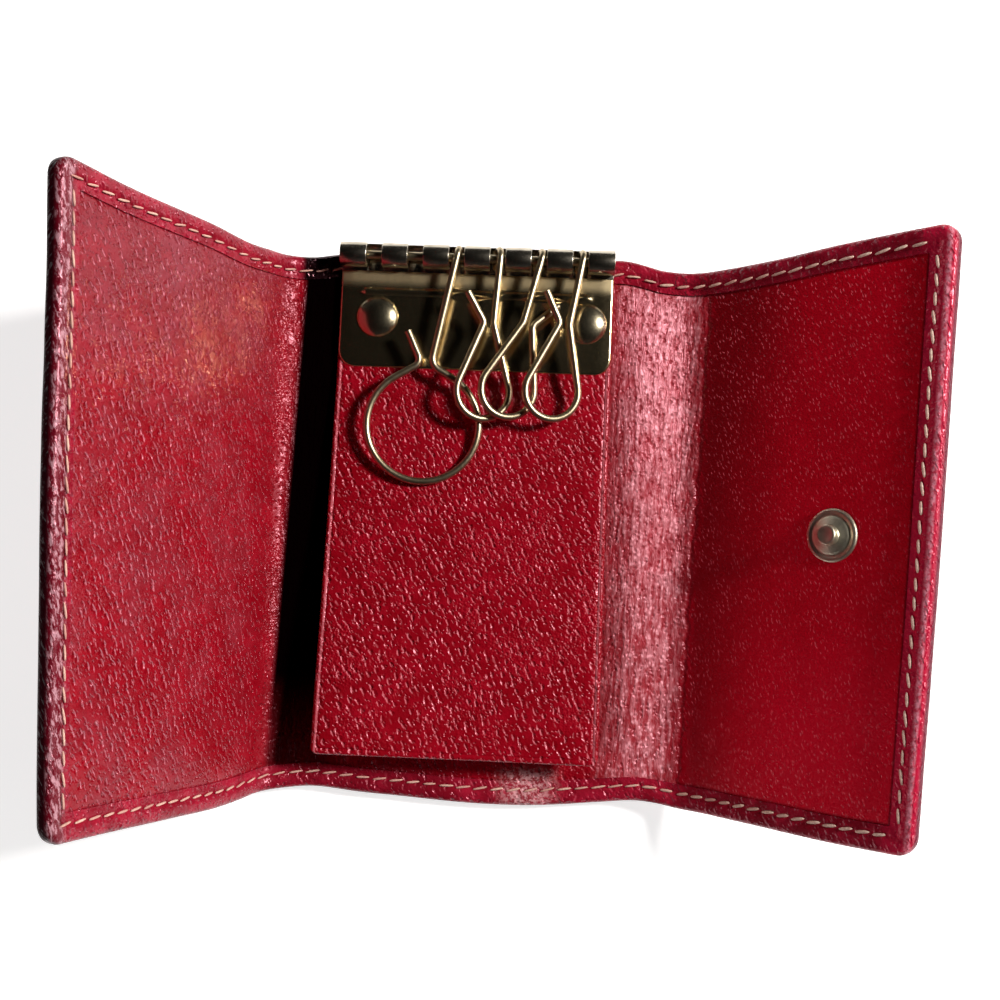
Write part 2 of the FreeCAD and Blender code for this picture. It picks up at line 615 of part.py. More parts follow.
    def eyelet(self, label, placement, top):
        """A flanged shank that clinches one half of the snap to its wing."""
        self.turned_part(label, placement, (
            (None, None), ("eyelet_flange_radius", None), ("eyelet_flange_radius", "board_thickness"),
            ("eyelet_radius", "board_thickness"), ("eyelet_radius", top), (None, top)))

    def snap(self, places):
        """The stud on the right wing's lining, and the socket on the left wing's outer leather."""
        stud_place = places["right_wing"] * moved(self.size("stud_reach"), self.size("stud_y"))
        stud = self.turned_part("snap_stud", stud_place * moved(z=self.size("lining_top")), (
            ("eyelet_hole", None), ("stud_flange_radius", None), ("stud_flange_radius", "stud_flange_rise"),
            ("stud_step_radius", "stud_flange_rise"), ("stud_step_radius", "stud_step_top"),
            ("stud_neck_radius", "stud_step_top"), ("stud_neck_radius", "stud_neck_top"),
            ("stud_head_radius", "stud_neck_top"), ("stud_head_radius", "stud_top"), (None, "stud_top"),
            (None, "stud_bore_depth"), ("eyelet_hole", "stud_bore_depth")))
        self.round_edges(stud, stud.Tip, "stud_round", self.rim_at("stud_top"))
        self.eyelet("stud_eyelet", stud_place * moved(z=self.size("outer_leather")), "stud_eyelet_top")
        outwards = moved(self.size("socket_reach"), self.size("socket_y")) * turned_about(X_AXIS, 180)
        socket_place = places["left_wing"] * outwards
        self.turned_part("snap_socket", socket_place, (
            ("eyelet_hole", None), ("socket_flange_radius", None), ("socket_flange_radius", "socket_base"),
            ("socket_radius", "socket_base"), ("socket_radius", "socket_rise"),
            ("socket_mouth", "socket_rise"), ("socket_mouth", "socket_lip_bottom"),
            ("socket_cavity", "socket_lip_bottom"), ("socket_cavity", "socket_base"),
            ("eyelet_hole", "socket_base")))
        self.eyelet("socket_eyelet", socket_place * moved(z=-self.size("lining_bottom")), "socket_eyelet_top")
        spring = self.doc.addObject("Part::Torus", "socket_spring")
        spring.Label = "socket_spring"
        self.bind(spring, "Radius1", "spring_ring")
        self.bind(spring, "Radius2", "spring_wire")
        spring.Placement = socket_place * moved(z=self.size("spring_level"))
        self.nodes.append(spring)

    # The whole case

    def build(self):
        """Makes every sub-part, then tests them."""
        places = self.panel_places()
        self.panels(places)
        self.flap()
        self.key_plate()
        self.hook_bar()
        self.rivets()
        self.hooks()
        self.snap(places)
        self.doc.recompute()
        self.test()

    def test(self):
        """Stops the build at a failed object or an unsound shape."""
        for thing in self.doc.Objects:
            if {"Invalid", "Error"} & set(thing.State):
                raise RuntimeError(f"{thing.Label} failed: {thing.State}")
        for node in self.nodes:
            if node.Shape.isNull() or not node.Shape.isValid() or not node.Shape.Solids:
                raise RuntimeError(f"{node.Label} has no sound solid")

    def write(self):
        """Writes each sub-part to its own file."""
        os.makedirs("parts", exist_ok=True)
        for node in self.nodes:
            node.Shape.exportStep(f"parts/{node.Label}.step")
            print(f"{node.Label}: {len(node.Shape.Solids)} solid, {node.Shape.Volume:.1f} mm3")


def main():
    case = CaseBuilder()
    case.build()
    case.write()


main()
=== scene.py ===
"""Looks of an open trifold leather key case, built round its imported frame. Sizes are in millimetres."""
import logging
import math
import random
from bisect import bisect_right
from dataclasses import dataclass
from enum import Enum
from functools import reduce
from typing import Callable, Iterable, Sequence

import bmesh
import bpy
from mathutils import Matrix, Vector, noise


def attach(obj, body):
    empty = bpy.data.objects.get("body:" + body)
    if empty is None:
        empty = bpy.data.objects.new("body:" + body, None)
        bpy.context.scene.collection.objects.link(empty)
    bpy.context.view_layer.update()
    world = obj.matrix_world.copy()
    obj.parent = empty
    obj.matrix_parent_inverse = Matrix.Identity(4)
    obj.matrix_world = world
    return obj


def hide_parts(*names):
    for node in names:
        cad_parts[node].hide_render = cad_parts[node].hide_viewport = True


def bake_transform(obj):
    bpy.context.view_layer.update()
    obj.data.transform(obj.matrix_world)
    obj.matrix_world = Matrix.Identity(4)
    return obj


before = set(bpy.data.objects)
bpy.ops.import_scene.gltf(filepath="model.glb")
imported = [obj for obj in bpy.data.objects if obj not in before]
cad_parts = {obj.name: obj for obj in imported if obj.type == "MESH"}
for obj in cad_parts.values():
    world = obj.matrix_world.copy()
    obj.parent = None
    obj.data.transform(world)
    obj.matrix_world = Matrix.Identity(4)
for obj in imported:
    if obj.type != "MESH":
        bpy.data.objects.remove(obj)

LOG = logging.getLogger("key_case")
MM = 0.001
HEM_LEVEL = 3.2
LINING_LEVEL = 2.4
HEM_WIDTH = 4.4
HALF_HEIGHT = 50.0
BACK_HALF = 26.5
LEFT_FOLD = 34.5
LEFT_EDGE = 86.5
RIGHT_FOLD = 40.0
RIGHT_EDGE = 86.0
STUD_S = 67.4
STUD_Y = 0.2
Pair = tuple[float, float]
Triple = tuple[float, float, float]
Colour = Triple
Place = Callable[[float, float, float], Vector]
Socket = bpy.types.NodeSocket


def smooth(low: float, high: float, value: float) -> float:
    """Eases a value from 0 at low to 1 at high."""
    t = min(1.0, max(0.0, (value - low) / (high - low)))
    return t * t * (3 - 2 * t)


def edge_drop(radius: float, inset: float) -> float:
    """How far a rounded edge falls below its face, at a distance from the edge."""
    return radius - math.sqrt(max(0.0, radius * radius - (radius - inset) ** 2)) if inset < radius else 0.0


@dataclass(frozen=True)
class Curve:
    """A smooth line through measured knots, for edges that wave."""

    knots: tuple[Pair, ...]

    def at(self, x: float) -> float:
        """Reads the line.

        Args:
            x: Position along it.

        Returns:
            The line's value there.
        """
        xs = [k[0] for k in self.knots]
        if x <= xs[0]:
            return self.knots[0][1]
        if x >= xs[-1]:
            return self.knots[-1][1]
        i = bisect_right(xs, x) - 1
        (x0, y0), (x1, y1) = self.knots[i], self.knots[i + 1]
        t = (x - x0) / (x1 - x0)
        m0, m1 = self._slope(i) * (x1 - x0), self._slope(i + 1) * (x1 - x0)
        return ((2 * t ** 3 - 3 * t ** 2 + 1) * y0 + (t ** 3 - 2 * t ** 2 + t) * m0
                + (3 * t ** 2 - 2 * t ** 3) * y1 + (t ** 3 - t ** 2) * m1)

    def _slope(self, i: int) -> float:
        """Slope at a numbered knot, flat at the two ends."""
        (xa, ya), (xb, yb) = self.knots[i - 1], self.knots[(i + 1) % len(self.knots)]
        return (yb - ya) / (xb - xa) if 0 < i < len(self.knots) - 1 else 0.0


@dataclass(frozen=True)
class Fold:
    """One fold of the leather: where it lies in the flat cut, how far it turns and how far its rounding reaches."""

    at: float
    degrees: float
    reach: float


def follow(t: float, folds: Iterable[Fold]) -> Triple:
    """Follows a sheet through its folds, which all turn it upward.

    Args:
        t: Distance along the flat sheet.
        folds: Its folds in order.

    Returns:
        Distance along the level, height and rising angle there.
    """
    run = height = angle = last = 0.0
    for fold in folds:
        begin = fold.at - fold.reach
        straight = min(t, begin) - last
        run += straight * math.cos(angle)
        height += straight * math.sin(angle)
        if t <= begin:
            return run, height, angle
        phi = math.radians(fold.degrees)
        radius = fold.reach / math.tan(phi / 2)
        share = min(1.0, (t - begin) / (2 * fold.reach))
        turn = phi * share
        run += radius * (math.sin(angle + turn) - math.sin(angle))
        height += radius * (math.cos(angle) - math.cos(angle + turn))
        angle += turn
        if share < 1:
            return run, height, angle
        last = fold.at + fold.reach
    return run + (t - last) * math.cos(angle), height + (t - last) * math.sin(angle), angle


@dataclass(frozen=True)
class Wing:
    """How one wing of the worn case leaves its flat shape."""

    fold: float
    edge: float
    twist_top: float
    twist_bottom: float
    shear_top: float
    shear_bottom: float
    trim: float


class Leather:
    """The leather cut as it lies at rest: maps flat places (s across, y along, h above the outer face) to space."""

    LEFT = (Fold(BACK_HALF, 12, 4.2), Fold(LEFT_FOLD, 51.5, 2.6))
    RIGHT = (Fold(BACK_HALF, 10, 6.0), Fold(RIGHT_FOLD, 29, 2.8))
    LEFT_WING = Wing(LEFT_FOLD, LEFT_EDGE, 2.2, 2.1, 0.9, 1.8, 0.0)
    RIGHT_WING = Wing(RIGHT_FOLD, RIGHT_EDGE, 2.4, 1.8, 1.6, 2.2, 0.8)
    BOW_START = 24.5
    BOW_TOP = 31
    BOW_END = 41
    WAVE = 0.28
    TOP = Curve(((-88, 51.1), (-72, 49.8), (-55, 49.1), (-45, 48.2), (-39, 48.4), (-34, 48.6), (-30, 48.8),
                 (-25.5, 49.6), (-18, 50), (20, 50), (26, 50.3), (28.5, 50.0), (31, 49.3), (34, 48.4), (39.5, 47.8),
                 (48, 48.0), (57, 48.6), (67, 49.6), (82, 50.6), (88, 50.6)))
    BOTTOM = Curve(((-88, 50.7), (-74, 50.5), (-49, 50.4), (-42, 50.0), (-36, 49.2), (-31, 48.4), (-25.5, 47.9),
                    (-17, 48.6), (-11, 48.9), (2, 49.6), (12, 49.6), (19, 49.1), (26, 48.3), (32, 47.6), (36, 47.8),
                    (40, 48.4), (46, 48.6), (57, 49.0), (72, 49.5), (88, 49.5)))

    def chain(self, s: float) -> Triple:
        """X, Z and the rising angle of a flat place across the case, at the hems' level."""
        x, z, angle = follow(abs(s), self.RIGHT if s >= 0 else self.LEFT)
        return math.copysign(x, s), HEM_LEVEL + z, math.copysign(angle, s)

    def wing(self, s: float) -> tuple[Wing, float]:
        """The wing on a place's side, and how far out on it the place lies."""
        wing = self.RIGHT_WING if s > 0 else self.LEFT_WING
        return wing, max(0.0, (abs(s) - wing.fold) / (wing.edge - wing.fold))

    def lift(self, s: float, y: float) -> float:
        """Height that wear adds along the inner normal: the twist of the wings, the bowed strip, low waves.

        Args:
            s: Flat place across the case.
            y: Flat place along the case.

        Returns:
            The added height.
        """
        wing, share = self.wing(s)
        twist = wing.twist_top if y > 0 else wing.twist_bottom
        up = -twist * share * y / HALF_HEIGHT
        if 25 < s < self.BOW_END:
            bow = smooth(self.BOW_START, self.BOW_TOP, s) * smooth(self.BOW_END, self.BOW_TOP, s)
            up += bow * (1 - (y / HALF_HEIGHT) ** 4)
        calm = 0.15 + 0.85 * smooth(27, 36, abs(s))
        if s > 0:
            calm *= smooth(6, 16, math.hypot(s - STUD_S, y - STUD_Y))
        wave = noise.noise(Vector((s / 17, y / 21, 3.1))) + 0.5 * noise.noise(Vector((s / 8, y / 11, 7.7)))
        return up + self.WAVE * calm * wave

    def place(self, s: float, y: float, h: float) -> Vector:
        """Maps a flat place to space.

        Args:
            s: Flat place across the case.
            y: Flat place along the case, from its middle.
            h: Height above the outer face.

        Returns:
            The place at rest, in metres.
        """
        wing, share = self.wing(s)
        shear = (wing.shear_top if y > 0 else wing.shear_bottom) * y / HALF_HEIGHT - wing.trim
        x, z, angle = self.chain(s + share * shear * (1 if s > 0 else -1))
        edge = self.TOP.at(s) if y > 0 else self.BOTTOM.at(s)
        up = h - HEM_LEVEL + self.lift(s, y)
        return Vector((x - up * math.sin(angle), y * edge / HALF_HEIGHT, z + up * math.cos(angle))) * MM


LEATHER = Leather()


@dataclass(frozen=True)
class Region:
    """A part of the cut that bends between two bodies across one fold."""

    name: str
    low: float
    high: float
    first: str
    second: str
    start: float
    end: float
    leather_nodes: tuple[str, ...]
    lining_nodes: tuple[str, ...]

    def free(self) -> tuple[bool, bool]:
        """Whether its left and its right end are edges of the cut."""
        return self.low == -LEFT_EDGE, self.high == RIGHT_EDGE

    def span(self, inset: float) -> Pair:
        """Its two ends, drawn in by an inset where they are free."""
        left, right = self.free()
        return self.low + inset * left, self.high - inset * right

    def lines(self, inset: float, near: Sequence[float], step: float) -> list[float]:
        """Grid lines across it from an inset, closer together near a free end."""
        near_low, near_high = (near if free else () for free in self.free())
        return spaced(*self.span(inset), near_low, near_high, step)

    def blend(self, piece: bpy.types.Object) -> None:
        """Bakes a piece's transform into its mesh."""
        LEATHER.place(self.start, 0, HEM_LEVEL)
        LEATHER.place(self.end, 0, HEM_LEVEL)
        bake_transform(piece)


REGIONS = (
    Region("left_wing", -LEFT_EDGE, -31.0, "left_strip", "left_wing", -31.5, -37.5,
           ("left_wing_leather", "left_strip_leather", "left_wing_board"), ("left_wing_lining", "left_strip_lining")),
    Region("back_left", -31.0, 0.0, "back", "left_strip", -22.3, -30.7,
           ("back_leather", "back_board"), ("back_lining",)),
    Region("back_right", 0.0, 33.5, "back", "right_strip", 20.0, 33.0, (), ()),
    Region("right_wing", 33.5, RIGHT_EDGE, "right_strip", "right_wing", 36.5, 43.5,
           ("right_wing_leather", "right_strip_leather", "right_wing_board"),
           ("right_wing_lining", "right_strip_lining")),
)


class Graph:
    """A material's node tree, with short ways to add the nodes that the finishes use."""

    def __init__(self, name: str) -> None:
        """Starts a material with one Principled shader.

        Args:
            name: Name of the material.
        """
        self.material = bpy.data.materials.new(name)
        self.material.use_nodes = True
        self.tree = self.material.node_tree
        self.shader = self.tree.nodes["Principled BSDF"]

    def add(self, kind: str, settings: dict[str, object], inputs: dict[object, object]) -> bpy.types.Node:
        """Adds a node.

        Args:
            kind: Node type.
            settings: Properties of the node.
            inputs: Sockets' links or values, by name or number.

        Returns:
            The node.
        """
        node = self.tree.nodes.new(kind)
        for key, value in settings.items():
            setattr(node, key, value)
        for key, value in inputs.items():
            self.feed(node.inputs[key], value)
        return node

    def feed(self, socket: Socket, value: object) -> None:
        """Links a socket or sets its value.

        Args:
            socket: Input socket.
            value: An output socket, or a plain value.
        """
        if isinstance(value, Socket):
            self.tree.links.new(value, socket)
        else:
            socket.default_value = value

    def flat(self) -> Socket:
        """The flat place of the leather, in millimetres."""
        return self.add("ShaderNodeAttribute", {"attribute_name": "flat"}, {}).outputs["Vector"]

    def attribute(self, name: str) -> Socket:
        """A number stored on the mesh under a name."""
        return self.add("ShaderNodeAttribute", {"attribute_name": name}, {}).outputs["Fac"]

    def object_place(self) -> Socket:
        """The object's own coordinates, in metres."""
        return self.add("ShaderNodeTexCoord", {}, {}).outputs["Object"]

    def split(self, vector: Socket) -> Sequence[Socket]:
        """The three numbers of a vector."""
        return self.add("ShaderNodeSeparateXYZ", {}, {0: vector}).outputs

    def join(self, *numbers: Socket) -> Socket:
        """A vector of two or three numbers."""
        return self.add("ShaderNodeCombineXYZ", {}, dict(enumerate(numbers))).outputs[0]

    def math(self, operation: str, *values: object) -> Socket:
        """Arithmetic on sockets and numbers."""
        return self.add("ShaderNodeMath", {"operation": operation}, dict(enumerate(values))).outputs[0]

    def times(self, *factors: object) -> Socket:
        """The product of sockets and numbers."""
        return reduce(lambda first, second: self.math("MULTIPLY", first, second), factors)

    def apart(self, value: Socket, other: float) -> Socket:
        """The distance between two numbers."""
        return self.math("ABSOLUTE", self.math("SUBTRACT", value, other))

    def vectors(self, operation: str, *values: object) -> Socket:
        """Arithmetic on vectors."""
        return self.add("ShaderNodeVectorMath", {"operation": operation}, dict(enumerate(values))).outputs[0]

    def mapped(self, vector: Socket, turn: float, scale: Sequence[float]) -> Socket:
        """Turns coordinates in their plane by an angle in degrees, and then scales them."""
        turned = self.add("ShaderNodeMapping", {}, {"Vector": vector, "Rotation": (0, 0, math.radians(turn))})
        return self.add("ShaderNodeMapping", {}, {"Vector": turned.outputs[0], "Scale": scale}).outputs[0]

    def pores(self, vector: Socket, turn: float, spacing: Pair, size: Triple, flip: object,
              stray: float = 1.0) -> tuple[Socket, Socket]:
        """Scattered long pores, one in most cells of an irregular pattern, each with a steep and a gentle wall.

        Args:
            vector: Coordinates in millimetres.
            turn: Degrees that bring the pores' length to the first axis.
            spacing: Millimetres between pores, along and across them.
            size: Half length, width of the steep wall and width of the gentle wall.
            flip: 1, or -1 where the steep wall lies on the other side.
            stray: How far the pores leave their rows.

        Returns:
            Depth of the pores from 0 to 1, and the share of their steep walls.
        """
        along, across = spacing
        scaled = self.mapped(vector, turn, (1 / along, 1 / across, 0.0))
        cell = self.add("ShaderNodeTexVoronoi", {"voronoi_dimensions": "2D"},
                        {"Vector": scaled, "Scale": 1.0, "Randomness": stray}).outputs
        offset = self.split(self.vectors("SUBTRACT", scaled, cell["Position"]))
        side = self.times(offset[1], flip)
        width = self.math("MAXIMUM", self.times(side, -across / size[1]), self.times(side, across / size[2]))
        length = self.times(offset[0], along / size[0])
        reach = self.math("SQRT", self.math("ADD", self.math("POWER", length, 2.0), self.math("POWER", width, 2.0)))
        cone = self.math("MAXIMUM", self.math("SUBTRACT", 1.0, reach), 0.0)
        depth = self.times(cone, self.ramp(cell["Color"], 0.2, 0.5))
        return depth, self.times(self.ramp(side, 0.05, -0.05), self.ramp(depth, 0.0, 0.3))

    def noise(self, vector: Socket, scale: float, detail: float, rough: float) -> Socket:
        """Noise from 0 to 1, by its waves per unit, its octaves and the weight of the finer ones."""
        return self.add("ShaderNodeTexNoise", {}, {"Vector": vector, "Scale": scale, "Detail": detail,
                                                   "Roughness": rough, "Distortion": 0.0}).outputs[0]

    def bent(self, vector: Socket, scale: float, amount: float) -> Socket:
        """Coordinates pushed about by noise, by its waves per unit and how far it pushes."""
        waves = self.add("ShaderNodeTexNoise", {}, {"Vector": vector, "Scale": scale, "Detail": 1.0}).outputs[1]
        return self.vectors("MULTIPLY_ADD", self.vectors("SUBTRACT", waves, (0.5,) * 3), (amount,) * 3, vector)

    def cells(self, vector: Socket, scale: float) -> Socket:
        """Distance from the points of an irregular cell pattern, by its cells per unit."""
        return self.add("ShaderNodeTexVoronoi", {"feature": "F1"},
                        {"Vector": vector, "Scale": scale, "Randomness": 1.0}).outputs["Distance"]

    def ramp(self, value: Socket, low: float, high: float, to_low: float = 0.0, to_high: float = 1.0) -> Socket:
        """Smoothly maps the numbers from low to high to another span."""
        return self.add("ShaderNodeMapRange", {"interpolation_type": "SMOOTHSTEP"},
                        {"Value": value, "From Min": low, "From Max": high, "To Min": to_low,
                         "To Max": to_high}).outputs[0]

    def between(self, share: Socket, first: Socket, second: Socket) -> Socket:
        """Mixes two numbers, by the share of the second."""
        return self.add("ShaderNodeMix", {"data_type": "FLOAT"}, {0: share, 2: first, 3: second}).outputs[0]

    def mix(self, share: Socket, first: object, second: object) -> Socket:
        """Mixes two colours or sockets of colour, by the share of the second."""
        first, second = (value if isinstance(value, Socket) else (*value, 1.0) for value in (first, second))
        return self.add("ShaderNodeMix", {"data_type": "RGBA"}, {0: share, 6: first, 7: second}).outputs[2]

    def bump(self, height: Socket, depth: float) -> Socket:
        """The normal bent by a height, which is given with the millimetres that a height of 1 stands for."""
        return self.add("ShaderNodeBump", {}, {"Height": height, "Distance": depth * MM, "Strength": 1.0}).outputs[0]

    def set(self, **values: object) -> None:
        """Feeds the shader's sockets.

        Args:
            **values: Socket names with _ for spaces.
        """
        for name, value in values.items():
            socket = self.shader.inputs[name.replace("_", " ").title().replace("Ior", "IOR")]
            self.feed(socket, (*value, 1.0) if isinstance(value, tuple) and len(value) == 3 else value)


class Cut(Enum):
    """The three cuts of leather."""

    SHELL = "shell"
    LINING = "lining"
    TONGUE = "tongue"


class Tone:
    """Colours of single places."""

    GLINT = (1.0, 0.45, 0.54)
    LOWER_SHADE = (0.12, 0.002, 0.007)
    # Painted sheen: pale patches on the lower hem.
    PAINTED_LOWER_SHEEN = (0.86, 0.48, 0.50)
    # Painted shade on the left rim.
    LEFT_RIM_SHADE = (0.10, 0.003, 0.009)
    # Painted highlights: glints along the left rim.
    LEFT_RIM_GLINTS = (0.72, 0.40, 0.46)
    # Painted light: the right hem painted brighter.
    RIGHT_HEM_LIGHT = (0.54, 0.010, 0.045)
    LIT_EDGE = (0.90, 0.42, 0.52)
    # Painted shadow on the hem at the top of the left fold.
    FOLD_HEM_SHADOW = (0.004, 0.0004, 0.0008)
    # Painted shade on the outer rims, darkest on the left.
    LEFT_UNDER_SHADE = (0.02, 0.001, 0.003)
    RIGHT_UNDER_SHADE = (0.13, 0.005, 0.022)
    # Painted sheen: a pale haze over the left wing.
    SHEEN_VEIL = (0.27, 0.05, 0.072)
    UPPER_VEIL = (0.16, 0.02, 0.03)
    # Painted light: the right wing's reds, brighter than the other panels.
    LIT_WING_DEEP = (0.46, 0.0008, 0.008)
    WING = (0.64, 0.002, 0.018)
    # Painted shade near the right wing's fold.
    WING_FOLD_SHADE = (0.22, 0.0006, 0.005)
    # Painted light: brighter at the bottom of the right wing.
    LIT_WING_LOW = (0.70, 0.002, 0.02)
    # Painted highlights: glints on the right wing's dots.
    FLECK_GLINT = (1.0, 0.17, 0.23)
    SEAM = (0.07, 0.001, 0.006)
    # Painted highlight on the right strip's ridges.
    RIDGE_HIGHLIGHT = (0.97, 0.40, 0.46)
    PIT = (0.22, 0.006, 0.014)
    # Painted highlights: glints on the left wing's pore walls.
    LEFT_WALL_GLINT = (0.80, 0.26, 0.33)
    LEFT_FOLD = (0.0012, 0.0002, 0.0003)
    RIGHT_THREAD = (1.0, 0.76, 0.62)


@dataclass(frozen=True)
class LeatherFinish:
    """Glossy pigskin: slanted dashes of pores, low pebbles, fine specks, and wrinkles in the folds."""

    name: str
    colour: Colour
    deep: Colour
    pale: Colour
    roughness: float
    grain: float
    part: Cut

    def build(self) -> bpy.types.Material:
        """Makes the material.

        Returns:
            The material.
        """
        g = Graph(self.name)
        flat = g.flat()
        s, y, h = g.split(flat)
        flip = g.ramp(s, -29, -31, 1.0, -1.0)
        over = g.math("MULTIPLY_ADD", h, -0.8, 2.56)
        outward = g.join(*(g.times(over, g.ramp(place, -20, 20, -1.0, 1.0)) for place in (s, y)))
        bent = g.bent(g.vectors("ADD", flat, outward), 0.4, 1.2)
        deep, deep_wall = g.pores(bent, 65, (1.4, 1.6), (0.7, 0.3, 0.6), flip, 0.66)
        small, small_wall = g.pores(bent, 46, (1.05, 0.85), (0.3, 0.2, 0.32), flip)
        crowd = g.ramp(g.noise(flat, 0.5, 2.0, 0.6), 0.34, 0.58, 0.45, 1.1)
        size = g.times(g.math("MAXIMUM", g.ramp(s, -44, -76, 0.3, 1.1), g.ramp(s, -30, -28)), crowd)
        deep, deep_wall = g.times(deep, size), g.times(deep_wall, size)
        patch = g.ramp(g.noise(flat, 0.12, 3.0, 0.6), 0.45, 0.62, 0.02, 0.12)
        specks = g.times(g.cells(flat, 2.2), patch)
        swell = g.times(g.noise(flat, 0.4, 2.0, 0.5), 0.12)
        cut = g.math("ADD", g.times(deep, 0.2), g.times(small, 0.1))
        cut = g.times(cut, g.ramp(flip, 1, -1, 1.0, 1.8))
        height = g.times(g.math("SUBTRACT", g.math("ADD", specks, swell), cut), self.grain)
        walls = g.times(g.math("MAXIMUM", deep_wall, g.times(small_wall, 0.45)), self.grain)
        colour = g.mix(g.ramp(g.noise(flat, 0.25, 3.0, 0.6), 0.35, 0.7), self.deep, self.colour)
        gloss: object = 0.5
        if self.part is Cut.LINING:
            height, colour, gloss = self.folded(g, flat, height, colour, walls)
        else:
            # Painted highlights: the steep pore walls tinted towards the pale colour as glints.
            colour = g.mix(g.times(walls, 0.4), colour, self.pale)
        if self.part is Cut.SHELL:
            colour, gloss = self.rimmed(g, flat, over, bent, colour)
            height = g.times(height, g.ramp(s, -82.6, -84.2, 1.0, 0.35))
        if self.part is Cut.TONGUE:
            score = g.apart(g.math("ABSOLUTE", s), 24.35)
            colour = g.mix(g.ramp(score, 0.28, 0.05, 0.0, 0.5), colour, self.pale)
        lower = g.times(g.ramp(y, -42.5, -45), g.ramp(h, 0.8, 1.6))
        shade = g.times(lower, 0.5, g.ramp(s, 4, -6), g.ramp(s, -32, -24))
        colour = g.mix(shade, colour, Tone.LOWER_SHADE)
        # Painted sheen: a pale patchy highlight on the lower hem, in the middle.
        patch = g.ramp(g.noise(bent, 1.4, 3.0, 0.65), 0.42, 0.6, 0.05, 0.62)
        colour = g.mix(g.times(lower, g.ramp(g.apart(s, 13), 7, 1), patch), colour, Tone.PAINTED_LOWER_SHEEN)
        rough = g.ramp(g.noise(flat, 0.6, 3.0, 0.6), 0.3, 0.7, self.roughness * 0.9, self.roughness * 1.15)
        g.set(base_color=colour, roughness=rough, normal=g.bump(height, 1.0), specular_ior_level=gloss,
              specular_tint=Tone.GLINT)
        return g.material

    def rimmed(self, g: Graph, flat: Socket, over: Socket, bent: Socket, colour: Socket) -> tuple[Socket, Socket]:
        """Adds painted light and shade on the rims: painted shade on the outer edges, painted glints on the left edge,
        a brighter painted right hem with a painted lit line, and painted shadow on the hem at the left fold.

        Args:
            g: Node tree.
            flat: Flat place.
            over: Way round the edge, from the hem's face.
            bent: Flat place pushed about by noise.
            colour: Colour so far.

        Returns:
            Colour and gloss.
        """
        s, y, h = g.split(flat)
        # Painted shade: the left hem's outer band darkened, where it turns away from the light.
        left = g.ramp(s, -82.6, -84.2)
        colour = g.mix(g.times(left, 0.8), colour, Tone.LEFT_RIM_SHADE)
        # Painted highlights: pale patchy glints on the top of the left rim.
        around = g.join(g.math("SUBTRACT", s, over), y)
        worn = g.noise(g.mapped(g.bent(around, 0.8, 0.7), -14, (1.5, 0.5, 0.0)), 1.0, 4.0, 0.7)
        worn = g.times(g.ramp(worn, 0.48, 0.6, 0.0, 0.62), left, g.ramp(h, 1.9, 2.6))
        colour = g.mix(worn, colour, Tone.LEFT_RIM_GLINTS)
        # Painted light: the right wing's outer hem painted brighter, as if lit along its rounded edge.
        colour = g.mix(g.ramp(s, 79, 82), colour, Tone.RIGHT_HEM_LIGHT)
        patch = g.ramp(g.noise(bent, 1.3, 3.0, 0.65), 0.35, 0.6, 0.1, 0.6)
        lit = g.times(g.ramp(s, 84.2, 84.9), g.ramp(s, 85.6, 85.2), patch)
        colour = g.mix(lit, colour, Tone.LIT_EDGE)
        # Painted shadow: the hem black where the left fold meets the top edge.
        fold = g.times(g.ramp(s, -33, -31.5), g.ramp(s, -23, -25), g.ramp(y, 38, 44), g.ramp(h, 1.2, 2.0))
        colour = g.mix(fold, colour, Tone.FOLD_HEM_SHADOW)
        # Painted shade: the outer half of each rim darkened, far darker on the left; its gloss drops there too.
        side = g.math("ABSOLUTE", s)
        rim = g.math("MAXIMUM", g.ramp(side, 84.6, 86.0), g.ramp(g.math("ABSOLUTE", y), 48.9, 49.9))
        low = g.times(rim, g.ramp(g.math("ADD", h, g.ramp(side, 84, 80, -0.7, 0.0)), 2.5, 1.1))
        colour = g.mix(low, colour, g.mix(g.ramp(s, -1, 1), Tone.LEFT_UNDER_SHADE, Tone.RIGHT_UNDER_SHADE))
        return colour, g.ramp(low, 0.2, 1.0, 0.5, 0.05)

    def folded(self, g: Graph, flat: Socket, height: Socket, colour: Socket,
               walls: Socket) -> tuple[Socket, Socket, Socket]:
        """Adds what differs from panel to panel: wrinkled strips with a painted highlight on the right one, a smooth
        right wing painted brighter with painted shade by its fold, a painted sheen over the left wing, and a painted
        shadow in the left fold.

        Args:
            g: Node tree.
            flat: Flat place.
            height: Grain so far.
            colour: Colour so far.
            walls: Share of the pores' steep walls, where glints are painted.

        Returns:
            Grain, colour and gloss.
        """
        s, y, _ = g.split(flat)
        wobble = g.math("MULTIPLY_ADD", g.noise(flat, 0.3, 3.0, 0.6), 2.0, -1.0)
        right = g.math("ADD", g.math("MULTIPLY_ADD", y, -0.034, s), wobble)
        left = g.math("MULTIPLY_ADD", y, -0.026, s)
        right_strip = g.times(g.ramp(s, 23.5, 27), g.ramp(right, 41.5, 39.5))
        left_strip = g.times(g.ramp(s, -24, -27), g.ramp(left, -34, -32.5))
        column = g.noise(g.mapped(g.bent(flat, 0.3, 0.8), 0, (1.0, 0.16, 0.0)), 1.0, 4.0, 0.68)
        column = g.times(column, 0.45)
        pits = g.pores(g.bent(flat, 0.5, 0.6), 88, (1.2, 1.1), (0.45, 0.35, 0.4), 1.0)[0]
        wrinkle = g.math("SUBTRACT", column, g.times(pits, 0.16))
        wing = g.ramp(right, 40.5, 43)
        dots, dot_wall = g.pores(g.bent(flat, 0.5, 1.1), 68, (0.95, 0.75), (0.36, 0.15, 0.2), 1.0)
        dot_wall = g.times(dot_wall, g.ramp(g.noise(flat, 0.3, 3.0, 0.7), 0.42, 0.62, 0.04, 0.6))
        grain = g.between(wing, height, g.times(dots, -0.07))
